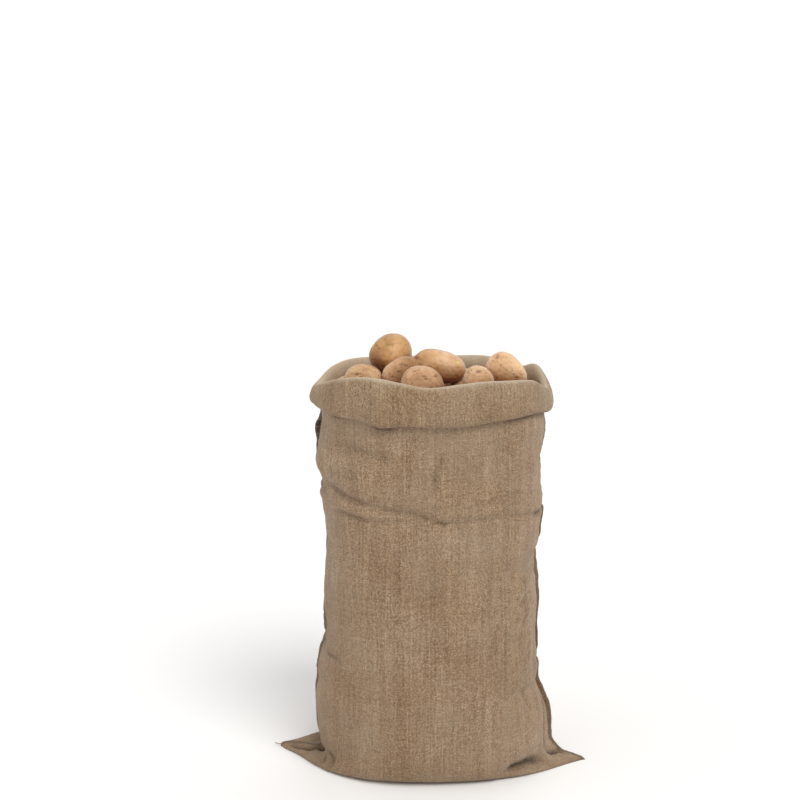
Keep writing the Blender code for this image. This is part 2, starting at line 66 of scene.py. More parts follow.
CLOTH_MAP = "cloth"  # UV map of the hessian, in metres along the two yarns
MM = 1000.0  # millimetres in a metre, for the tables
log = logging.getLogger("hessian_sack")

Tree = bpy.types.NodeTree
Socket = bpy.types.NodeSocket

# Settings that many nodes share
FLAT = {"noise_dimensions": "2D"}
TIMES = {"operation": "MULTIPLY"}
COVER = {"data_type": "RGBA"}
TINT = {"data_type": "RGBA", "blend_type": "MULTIPLY"}


# ---------------------------------------------------------------- shared tools


def linear(colour: str, alpha: float = 1.0) -> tuple[float, float, float, float]:
    """Linear colour of an sRGB hex value.

    Args:
        colour: Six hex digits, with or without a leading #.
        alpha: Fourth number of the result.

    Returns:
        Red, green, blue and alpha as Blender's sockets take them.
    """
    digits = colour.lstrip("#")
    parts = [int(digits[i : i + 2], 16) / 255 for i in (0, 2, 4)]
    red, green, blue = (
        part / 12.92 if part <= 0.04045 else ((part + 0.055) / 1.055) ** 2.4 for part in parts
    )
    return red, green, blue, alpha


def set_inputs(tree: Tree, node: bpy.types.Node, inputs: Mapping[str | int, Any]) -> None:
    """Gives a node its inputs by name or number, each a value or a socket to link."""
    for name, value in inputs.items():
        if isinstance(value, Socket):
            tree.links.new(value, node.inputs[name])
        else:
            node.inputs[name].default_value = value


def add_node(
    tree: Tree,
    kind: str,
    settings: Mapping[str, Any] | None = None,
    inputs: Mapping[str | int, Any] | None = None,
) -> bpy.types.Node:
    """Adds one shader node with its settings, values and links.

    Args:
        tree: Node tree that gets the node.
        kind: Node type without the ShaderNode prefix.
        settings: Properties of the node by name.
        inputs: A value, or a socket to link, for inputs by name or number.

    Returns:
        The new node.
    """
    node = tree.nodes.new("ShaderNode" + kind)
    for name, value in (settings or {}).items():
        setattr(node, name, value)
    set_inputs(tree, node, inputs or {})
    return node


def set_ramp(node: bpy.types.Node, stops: Sequence[tuple[float, str]]) -> None:
    """Gives a colour ramp its stops, as places and hex colours."""
    elements = node.color_ramp.elements
    while len(elements) < len(stops):
        elements.new(0.5)
    for element, (place, colour) in zip(elements, stops):
        element.position = place
        element.color = linear(colour)


def new_material(name: str) -> tuple[bpy.types.Material, Tree, bpy.types.Node]:
    """An empty node material: the material, its tree and its Principled shader."""
    material = bpy.data.materials.new(name)
    material.use_nodes = True
    return material, material.node_tree, material.node_tree.nodes["Principled BSDF"]


def link_object(
    name: str, mesh: bmesh.types.BMesh, material: bpy.types.Material
) -> bpy.types.Object:
    """Makes a smooth shaded object at the origin from a bmesh, which it frees.

    Args:
        name: The object's name.
        mesh: The finished shape, in the row's frame.
        material: Finish of the whole piece.

    Returns:
        The new object, linked to the scene.
    """
    data = bpy.data.meshes.new(name)
    mesh.to_mesh(data)
    mesh.free()
    data.shade_smooth()
    data.materials.append(material)
    obj = bpy.data.objects.new(name, data)
    bpy.context.scene.collection.objects.link(obj)
    log.info("%s: %d faces", name, len(data.polygons))
    return obj


def add_tube(mesh: bmesh.types.BMesh, path: Sequence[Vector], radius: float, sides: int) -> None:
    """Sweeps a closed round tube along a path.

    Args:
        mesh: The mesh under work.
        path: Points of the tube's middle line.
        radius: The tube's radius, which narrows at its two ends.
        sides: Number of its faces around.
    """
    rings = []
    last = len(path) - 1
    for number, point in enumerate(path):
        at_end = number in (0, last)
        ahead = path[min(number + 1, last)] - path[max(number - 1, 0)]
        turn = ahead.to_track_quat("Z", "Y").to_matrix().to_4x4()
        turn.translation = point
        thin = 0.4 if at_end else 1.0
        made = bmesh.ops.create_circle(
            mesh, cap_ends=at_end, radius=radius * thin, segments=sides, matrix=turn
        )
        rings.append({edge for vert in made["verts"] for edge in vert.link_edges})
    for low, high in zip(rings, rings[1:]):
        bmesh.ops.bridge_loops(mesh, edges=list(low | high))


def smooth_step(values: np.ndarray, start: float, end: float) -> np.ndarray:
    """Ramp from 0 at `start` to 1 at `end`, level at both ends."""
    t = np.clip((values - start) / (end - start), 0.0, 1.0)
    return t * t * (3.0 - 2.0 * t)


def bell(values: np.ndarray | float, spread: float) -> np.ndarray | float:
    """Bell curve that is 1 at zero and falls off over `spread`."""
    return np.exp(-((values / spread) ** 2))


def spline(rows: np.ndarray, places: np.ndarray, at: np.ndarray) -> np.ndarray:
    """Catmull-Rom values between rows that stand at rising places.

    Args:
        rows: One row of values for each place.
        places: Rising numbers.
        at: Where to read.

    Returns:
        One row of values for each number in `at`.
    """
    slopes = np.gradient(rows, places, axis=0)
    index = np.clip(np.searchsorted(places, at, side="right") - 1, 0, len(places) - 2)
    shape = (-1,) + (1,) * (rows.ndim - 1)
    gap = (places[index + 1] - places[index]).reshape(shape)
    t = np.clip((at - places[index]).reshape(shape) / gap, 0.0, 1.0)
    return (
        (2 * t**3 - 3 * t**2 + 1) * rows[index]
        + (t**3 - 2 * t**2 + t) * slopes[index] * gap
        + (3 * t**2 - 2 * t**3) * rows[index + 1]
        + (t**3 - t**2) * slopes[index + 1] * gap
    )


def length_along(points: np.ndarray, axis: int) -> np.ndarray:
    """Length from the first point to each one, down or across a grid of points."""
    steps = np.linalg.norm(np.diff(points, axis=axis), axis=-1)
    return np.insert(np.cumsum(steps, axis=axis), 0, 0.0, axis=axis)


def table_array(table: Sequence[NamedTuple]) -> np.ndarray:
    """A table of named rows as an array of floats."""
    return np.array(table, dtype=float)


def noise_at(points: np.ndarray, pitch: Sequence[float], seed: float) -> np.ndarray:
    """Smooth noise from -1 to 1 at each point of an array.

    Args:
        points: Array whose last axis is x, y, z.
        pitch: Size of the noise's lumps along x, y and z, in metres.
        seed: Shifts the noise, so that two of them differ.

    Returns:
        An array without the last axis.
    """
    scaled = points.reshape(-1, 3) / np.array(pitch) + seed
    return np.array([noise.noise(Vector(point)) for point in scaled]).reshape(points.shape[:-1])


# -------------------------------------------------------------------- finishes


@dataclass(frozen=True)
class HessianFinish:
    """Jute hessian: plain woven from unbleached, unevenly spun yarn.

    The eye gets a matt, dry cloth with a small square grain, thick and thin
    yarns that run up it as faint streaks, and fibres that catch a little light
    along its edges.
    """

    name: str = "hessian"
    # Real hessian has a yarn every 2 mm or so, which is finer than the render
    # shows, so the grain is drawn coarser.
    yarn_pitch: float = 0.0024
    yarn_relief: float = 0.0008
    stray: float = 0.0045  # how far a yarn wanders from its line
    # Lumps to a metre, across the cloth and along it: the slubs of one yarn, the
    # streaks of thick and thin yarns, and bands of yarn from another bale.
    slub: tuple[float, float] = (420.0, 45.0)
    streak: tuple[float, float] = (230.0, 9.0)
    band: tuple[float, float] = (48.0, 4.0)
    slub_share: float = 0.8
    knot_share: float = 0.34
    streak_share: float = 0.30
    band_share: float = 0.14
    dark: str = "#6d5541"
    middle: str = "#a58b70"
    light: str = "#d2bda2"
    cuff_tint: str = "#fffefb"
    bleached: str = "#9c8d7a"
    # Colour that the cloth darkens to towards the floor
    low_tone: str = "#7f634a"
    # Painted shade in the folds and in the crevice under the hem
    crease_shade_tint: str = "#4d3b2a"
    # Painted shade on the seams' fins
    seam_shade_tint: str = "#4c3a28"
    # Painted highlight along the top of the rim's roll, and its share
    worn: str = "#d8ccb9"
    rim_highlight_share: float = 0.72
    roughness: float = 0.9
    sheen: float = 0.38
    sheen_tint: str = "#e8dccb"

    def build(self) -> bpy.types.Material:
        """The cloth's material, drawn along its own UV map."""
        material, tree, shader = new_material(self.name)
        place = add_node(tree, "UVMap", {"uv_map": CLOTH_MAP}).outputs["UV"]
        where = add_node(tree, "TexCoord").outputs["Object"]
        height, over, numbers = self.add_weave(tree, place)
        tone = self.add_yarn_tone(tree, place, over, numbers)
        ramp = add_node(tree, "ValToRGB", inputs={0: tone})
        set_ramp(ramp, ((0.26, self.dark), (0.50, self.middle), (0.76, self.light)))
        # Painted shade in the gaps between the yarns, darker where the weave is low
        gap_shade = add_node(tree, "MapRange", inputs={0: height, 2: 0.55, 3: 0.52}).outputs[0]
        woven = add_node(tree, "Mix", TINT, {0: 1.0, 6: ramp.outputs[0], 7: gap_shade})
        relief = {"Strength": 0.75, "Distance": self.yarn_relief, "Height": height}
        finish = {
            "Base Color": self.add_tones_and_painted_light(tree, where, woven.outputs[2]),
            "Normal": add_node(tree, "Bump", inputs=relief).outputs[0],
            "Roughness": self.roughness,
            "Specular IOR Level": 0.25,
            "Sheen Weight": self.sheen,
            "Sheen Roughness": 0.45,
            "Sheen Tint": linear(self.sheen_tint),
        }
        set_inputs(tree, shader, finish)
        return material

    def add_weave(self, tree: Tree, place: Socket) -> tuple[Socket, Socket, list[Socket]]:
        """Plain weave: each yarn goes over one and under the next.

        Args:
            tree: The material's tree.
            place: Place on the cloth in metres.

        Returns:
            The cloth's height from 0 to 1, where the warp is on top, and the
            numbers of the warp and weft yarns.
        """
        lumps = {"Vector": place, "Scale": 55.0, "Detail": 2.0}
        wander = add_node(tree, "TexNoise", FLAT, lumps).outputs["Color"]
        steps = {0: wander, 1: (self.stray, self.stray, 0.0), 2: place}
        shifted = add_node(tree, "VectorMath", {"operation": "MULTIPLY_ADD"}, steps).outputs[0]
        scaled = {0: shifted, "Scale": 1.0 / self.yarn_pitch}
        counted = add_node(tree, "VectorMath", {"operation": "SCALE"}, scaled).outputs[0]
        split = add_node(tree, "SeparateXYZ", inputs={0: counted})
        numbers, crowns = [], []
        for count in split.outputs[:2]:
            numbers.append(add_node(tree, "Math", {"operation": "FLOOR"}, {0: count}).outputs[0])
            crown = count
            for operation, given in (("FRACT", {}), ("MULTIPLY", {1: math.pi}), ("SINE", {})):
                step = add_node(tree, "Math", {"operation": operation}, {0: crown, **given})
                crown = step.outputs[0]
            crowns.append(crown)
        total = add_node(tree, "Math", {"operation": "ADD"}, dict(enumerate(numbers))).outputs[0]
        over = add_node(tree, "Math", {"operation": "FLOORED_MODULO"}, {0: total, 1: 2.0})
        lifted = []
        for own, other in (crowns, crowns[::-1]):
            arch = add_node(tree, "MapRange", inputs={0: other, 3: 0.45}).outputs[0]
            lifted.append(add_node(tree, "Math", TIMES, {0: own, 1: arch}).outputs[0])
        height = add_node(tree, "Mix", inputs={0: over.outputs[0], 2: lifted[1], 3: lifted[0]})
        return height.outputs[0], over.outputs[0], numbers

    def add_drawn_noise(
        self, tree: Tree, place: Socket, lumps: Sequence[float], detail: float, rough: float
    ) -> Socket:
        """Noise whose lumps are drawn out along the cloth or across it.

        Args:
            tree: The material's tree.
            place: Place on the cloth in metres.
            lumps: Lumps to a metre, across the cloth and along it.
            detail: Number of its finer layers.
            rough: Strength of its finer layers.

        Returns:
            The noise from 0 to 1.
        """
        drawn = add_node(tree, "VectorMath", TIMES, {0: place, 1: (*lumps, 1.0)}).outputs[0]
        given = {"Vector": drawn, "Scale": 1.0, "Detail": detail, "Roughness": rough}
        return add_node(tree, "TexNoise", FLAT, given).outputs[0]

    def add_yarn_tone(
        self, tree: Tree, place: Socket, over: Socket, numbers: Sequence[Socket]
    ) -> Socket:
        """Tone of each yarn along its length, from 0, dark, to 1, light.

        Args:
            tree: The material's tree.
            place: Place on the cloth in metres.
            over: Where the warp is on top.
            numbers: Numbers of the warp and weft yarns.

        Returns:
            The tone.
        """
        tones = []
        for number, lumps in zip(numbers, (self.slub, self.slub[::-1])):
            own = add_node(tree, "TexWhiteNoise", {"noise_dimensions": "1D"}, {"W": number})
            slub = self.add_drawn_noise(tree, place, lumps, 3.0, 0.6)
            tone = add_node(tree, "Mix", inputs={0: self.slub_share, 2: own.outputs[0], 3: slub})
            tones.append(tone.outputs[0])
        crossing = add_node(tree, "CombineXYZ", inputs=dict(enumerate(numbers))).outputs[0]
        knot = add_node(tree, "TexWhiteNoise", FLAT, {"Vector": crossing}).outputs[0]
        streak = self.add_drawn_noise(tree, place, self.streak, 4.0, 0.65)
        band = self.add_drawn_noise(tree, place, self.band, 3.0, 0.5)
        tone = tones[1]
        for share, pattern in (
            (over, tones[0]),
            (self.knot_share, knot),
            (self.streak_share, streak),
            (self.band_share, band),
        ):
            tone = add_node(tree, "Mix", inputs={0: share, 2: tone, 3: pattern}).outputs[0]
        return tone

    def add_tones_and_painted_light(self, tree: Tree, where: Socket, woven: Socket) -> Socket:
        """Broad changes of colour: bleaching, darker cloth towards the floor, the cuff, a painted
        highlight on the rim, and painted shade in the folds, under the hem and on the seams.

        Args:
            tree: The material's tree.
            where: Object coordinates.
            woven: Colour of the plain woven cloth.

        Returns:
            The finished colour.
        """
        up = add_node(tree, "SeparateXYZ", inputs={0: where}).outputs[2]
        clouds = {"Vector": where, "Detail": 5.0, "Roughness": 0.6}
        mottle, patch = (
            add_node(tree, "TexNoise", inputs={**clouds, "Scale": scale}).outputs[0]
            for scale in (7.0, 11.0)
        )
        pale = add_node(tree, "MapRange", inputs={0: patch, 1: 0.42, 2: 0.66, 4: 0.32})
        # Darker towards the floor
        darkened = add_node(tree, "MapRange", inputs={0: up, 2: 0.62, 3: 0.16, 4: 0.0})
        turned, worn, seam, fold = (
            add_node(tree, "Attribute", {"attribute_name": name}).outputs["Fac"]
            for name in ("turned", "worn", "seam", "fold")
        )
        # Painted highlight along the rim
        painted_rim_light = add_node(tree, "Math", TIMES, {0: worn, 1: self.rim_highlight_share})
        tint = add_node(tree, "ValToRGB", inputs={0: mottle})
        set_ramp(tint, ((0.30, "#e6dccf"), (0.50, "#f4eee6"), (0.72, "#ffffff")))
        colour = woven
        for settings, share, tone in (
            (COVER, pale.outputs[0], linear(self.bleached)),
            # darker towards the floor
            (COVER, darkened.outputs[0], linear(self.low_tone)),
            # Painted highlight on the rim
            (COVER, painted_rim_light.outputs[0], linear(self.worn)),
            (TINT, 1.0, tint.outputs[0]),
            (TINT, turned, linear(self.cuff_tint)),
            # Painted shade on the seams' fins
            (TINT, seam, linear(self.seam_shade_tint)),
            # Painted shade in the folds and under the hem
            (TINT, fold, linear(self.crease_shade_tint)),
        ):
            colour = add_node(tree, "Mix", settings, {0: share, 6: colour, 7: tone}).outputs[2]
        return colour


@dataclass(frozen=True)
class TwineFinish:
    """Jute sewing twine: two hairy plies, paler than the cloth they sew."""

    name: str = "jute_twine"
    colour: str = "#9c8466"
    shade: str = "#745c43"
    roughness: float = 0.85

    def build(self) -> bpy.types.Material:
        """The twine's material, mottled at the length of a ply's turn."""
        material, tree, shader = new_material(self.name)
        where = add_node(tree, "TexCoord").outputs["Object"]
        lumps = {"Vector": where, "Scale": 900.0, "Detail": 2.0}
        turns = add_node(tree, "TexNoise", inputs=lumps).outputs[0]
        ramp = add_node(tree, "ValToRGB", inputs={0: turns})
        set_ramp(ramp, ((0.3, self.shade), (0.6, self.colour)))
        finish = {"Base Color": ramp.outputs[0], "Roughness": self.roughness, "Sheen Weight": 0.2}
        set_inputs(tree, shader, finish)
        return material


@dataclass(frozen=True)
class PotatoSkin:
    """Washed potato skin: thin, waxy, netted and freckled, with brown eyes.

    The eye gets a soft highlight on a warm yellow-brown skin, darker freckles
    a millimetre across, rougher netted patches, dark hollows at the eyes, a
    dusty bloom along its outline and a browner underside of painted shade.
    """

    name: str
    pale: str
    full: str
    flush: str
    freckle: str = "#8a5c35"
    eye: str = "#412512"
    sprout: str = "#dccf7e"
    # Painted shade on the underside
    under: str = "#a8733f"
    netting: float = 0.45
    freckles: float = 0.75
    blemishes: float = 0.7
    relief: float = 0.0009
    bloom: float = 0.35
    roughness: float = 0.5

    def build(self) -> bpy.types.Material:
        """The skin's material, on Object coordinates."""
        material, tree, shader = new_material(self.name)
        where = add_node(tree, "TexCoord").outputs["Object"]
        broad, fine = (
            add_node(
                tree,
                "TexNoise",
                inputs={"Vector": where, "Scale": scale, "Detail": detail, "Roughness": rough},
            ).outputs[0]
            for scale, detail, rough in ((22.0, 3.0, 0.55), (170.0, 5.0, 0.7))
        )
        base = add_node(tree, "ValToRGB", inputs={0: broad})
        set_ramp(base, ((0.32, self.flush), (0.50, self.full), (0.68, self.pale)))
        netted = add_node(tree, "MapRange", inputs={0: fine, 1: 0.50, 2: 0.68, 4: self.netting})
        layers = [(COVER, netted.outputs[0], self.freckle)]
        # Spots to a metre, the share of them left out, their radii as shares of
        # the spacing, and how strong they are: freckles and larger blemishes
        for scale, left_out, (core, rim), strength in (
            (150.0, 0.62, (0.12, 0.26), self.freckles),
            (62.0, 0.80, (0.07, 0.17), self.blemishes),
        ):
            cells = add_node(tree, "TexVoronoi", inputs={"Vector": where, "Scale": scale})
            picked = add_node(tree, "SeparateColor", inputs={0: cells.outputs["Color"]}).outputs[0]
            chosen = add_node(
                tree, "Math", {"operation": "GREATER_THAN"}, {0: picked, 1: left_out}
            ).outputs[0]
            falloff = {0: cells.outputs["Distance"], 1: core, 2: rim, 3: strength, 4: 0.0}
            dot = add_node(tree, "MapRange", inputs=falloff).outputs[0]
            mark = add_node(tree, "Math", TIMES, {0: chosen, 1: dot}).outputs[0]
            layers.append((COVER, mark, self.freckle))
        # Painted shade on the underside, then the pale buds and the dark eyes
        for name, tone, settings in (
            ("under", self.under, TINT),
            ("sprout", self.sprout, COVER),
            ("eye", self.eye, COVER),
        ):
            marked = add_node(tree, "Attribute", {"attribute_name": name}).outputs["Fac"]
            layers.append((settings, marked, tone))
        colour = base.outputs[0]
        for settings, share, tone in layers:
            given = {0: share, 6: colour, 7: linear(tone)}
            colour = add_node(tree, "Mix", settings, given).outputs[2]
        freckled = layers[1][1]
        pitted = add_node(
            tree, "Math", {"operation": "MULTIPLY_ADD"}, {0: freckled, 1: -0.8, 2: fine}
        ).outputs[0]
        relief = {"Strength": 0.5, "Distance": self.relief, "Height": pitted}
        finish = {
            "Base Color": colour,
            "Normal": add_node(tree, "Bump", inputs=relief).outputs[0],
            "Roughness": self.roughness,
            "IOR": 1.42,
            "Sheen Weight": self.bloom,
            "Sheen Roughness": 0.35,
        }
        set_inputs(tree, shader, finish)
        return material


NETTED = {"netting": 0.5, "freckles": 0.85}


class SkinKind(Enum):
    """The looks that the potatoes in a sack have."""

    AMBER = PotatoSkin(
        "amber_skin",
        "#d8ad7c",
        "#c0935f",
        "#9f7040",
        netting=0.3,
        freckles=0.35,
        blemishes=0.4,
        roughness=0.42,
    )
    GOLDEN = PotatoSkin(
        "golden_skin",
        "#d9b188",
        "#cb9f70",
        "#b68656",
        netting=0.25,
        freckles=0.3,
        blemishes=0.35,
        roughness=0.42,
    )
    FRECKLED = PotatoSkin("freckled_skin", "#e4c198", "#d3a981", "#ba8b60", **NETTED)
    DUSTY = PotatoSkin("dusty_skin", "#dcb98b", "#c49b72", "#aa7b50", **NETTED)
    PALE = PotatoSkin("pale_skin", "#ecca9f", "#deb68b", "#c99a6d", netting=0.4, freckles=0.8)
    ROUGH = PotatoSkin(
        "rough_skin",
        "#d8b08a",
        "#c69c75",
        "#a87c56",
        netting=0.65,
        freckles=0.85,
        roughness=0.62,
    )
    DULL = PotatoSkin(
        "dull_skin",
        "#d6ae88",
        "#c39871",
        "#a07549",
        netting=0.6,
        freckles=0.9,
        roughness=0.62,
    )


@dataclass(frozen=True)
class FloorFinish:
    """Matt painted studio floor, nearly white."""

    name: str = "studio_floor"
    colour: str = "#f4f3f1"
    roughness: float = 0.9

    def build(self) -> bpy.types.Material:
        """The floor's plain material."""
        material, tree, shader = new_material(self.name)
        finish = {"Base Color": linear(self.colour), "Roughness": self.roughness}
        set_inputs(tree, shader, finish)
        return material


# --------------------------------------------------------------- the cloth


class Section(NamedTuple):
    """A horizontal section of the wall, with its ears and its shape."""

    middle: float
    side_left: float
    side_right: float
    left: float
    right: float
    front: float
    back: float
    ear_left: float
    ear_right: float
    roundness: float


# Millimetres, with the roundness last
SECTIONS = tuple(
    Section(*(size / MM for size in sizes), roundness)
    for *sizes, roundness in (
        (1, 2, 2, -232, 243, -124, 122, 44, 46, 2.00),
        (9, 8, 8, -225, 235, -141, 137, 42, 32, 2.00),
        (25, 11, 16, -207, 227, -154, 149, 31, 13, 2.00),
        (44, 14, 34, -200, 222, -161, 155, 7, 2, 2.02),
        (68, 24, 58, -198, 221, -165, 158, 0, 0, 2.06),
        (98, 66, 96, -203, 217, -166, 160, 0, 0, 2.10),
        (128, 128, 128, -208, 208, -165, 160, 0, 0, 2.12),
        (157, 157, 157, -203, 198, -164, 159, 0, 0, 2.14),
        (190, 190, 190, -202, 203, -163, 159, 0, 0, 2.15),
        (225, 225, 225, -195, 199, -163, 159, 0, 0, 2.15),
        (265, 265, 265, -187, 197, -163, 159, 0, 0, 2.16),
        (310, 310, 310, -191, 199, -162, 159, 0, 0, 2.16),
        (350, 350, 350, -190, 194, -162, 159, 0, 0, 2.16),
        (388, 388, 388, -188, 187, -162, 158, 0, 0, 2.16),
        (420, 420, 420, -185, 198, -162, 158, 0, 0, 2.16),
        (455, 455, 455, -188, 201, -162, 158, 0, 0, 2.16),
        (485, 485, 485, -192, 206, -161, 157, 0, 0, 2.15),
        (507, 507, 507, -196, 205, -160, 156, 0, 0, 2.15),
        (522, 522, 522, -200, 203, -162, 156, 0, 0, 2.15),
        (545, 545, 545, -193, 201, -163, 155, 0, 0, 2.15),
        (580, 580, 580, -203, 202, -161, 152, 0, 0, 2.15),
        (615, 615, 615, -196, 205, -157, 147, 0, 0, 2.14),
        (646, 646, 646, -190, 204, -153, 141, 0, 0, 2.12),
    )
)
NECK = Section(0.700, 0.700, 0.700, -0.191, 0.199, -0.151, 0.132, 0.000, 0.000, 2.10)


class Cuff(NamedTuple):
    """The rim and the cuff at one angle round the mouth, in degrees."""

    angle: float
    rim: float
    edge: float
    stand_off: float


# Degrees, then millimetres
CUFFS = tuple(
    Cuff(angle, *(size / MM for size in sizes))
    for angle, *sizes in (
        (0, 704, 668, 21), (8, 716, 664, 20), (14, 725, 660, 20), (20, 733, 661, 19),
        (27, 732, 662, 19), (34, 725, 664, 18), (44, 728, 667, 18), (56, 733, 667, 18),
        (90, 729, 664, 18), (120, 732, 662, 18), (140, 731, 662, 18), (152, 724, 663, 19),
        (165, 713, 667, 19), (180, 708, 674, 20), (190, 715, 680, 19), (202, 726, 680, 18),
        (214, 738, 677, 18), (224, 746, 678, 18), (234, 752, 679, 19), (247, 752, 669, 20),
        (257, 747, 674, 19), (270, 740, 673.5, 19), (283, 745, 673.5, 20), (296, 748, 677, 20),
        (310, 745, 679, 20), (322, 741, 679, 20), (331, 735, 679, 19), (340, 723, 674, 18),
        (350, 711, 669, 20),
    )
)


class Turn(NamedTuple):
    """A point of the cloth's path over the rim and round the cuff.

    `out` is a share of the stand-off. `down` is measured from the rim and `up`
    from the edge, and the unused one is -1.
    """

    out: float
    down: float
    up: float


TURNS = (
    Turn(0.06, 0.012, -1),
    Turn(0.20, 0.004, -1),
    Turn(0.40, 0.000, -1),
    Turn(0.66, 0.004, -1),
    Turn(0.88, 0.014, -1),
    Turn(1.02, 0.031, -1),
    Turn(1.08, 0.046, -1),
    Turn(1.06, -1, 0.022),
    Turn(0.96, -1, 0.009),
    Turn(0.74, -1, 0.001),
    Turn(0.46, -1, 0.001),
    Turn(0.24, -1, 0.010),
)


class Panel(Enum):
    """The sack's two panels, by the side that they face along y."""

    FRONT = -1
    BACK = 1


class Fold(NamedTuple):
    """A soft fold along a path of x and z on one panel, seen square on.

    `rise` is how far its middle lifts off the cloth, or sinks where it is
    below zero, `spread` how wide it is, and `shade` how dark its bottom is
    painted, as painted shade in the crease, from 0 to 1.
    """

    panel: Panel
    spread: float
    rise: float
    shade: float
    path: tuple[tuple[float, float], ...]


def folds(panel: Panel, rows: Sequence[tuple[Any, ...]]) -> list[Fold]:
    """A panel's folds, from rows of spread, rise, shade and path in millimetres."""
    return [
        Fold(panel, spread / MM, rise / MM, shade, tuple((x / MM, z / MM) for x, z in path))
        for spread, rise, shade, *path in rows
    ]


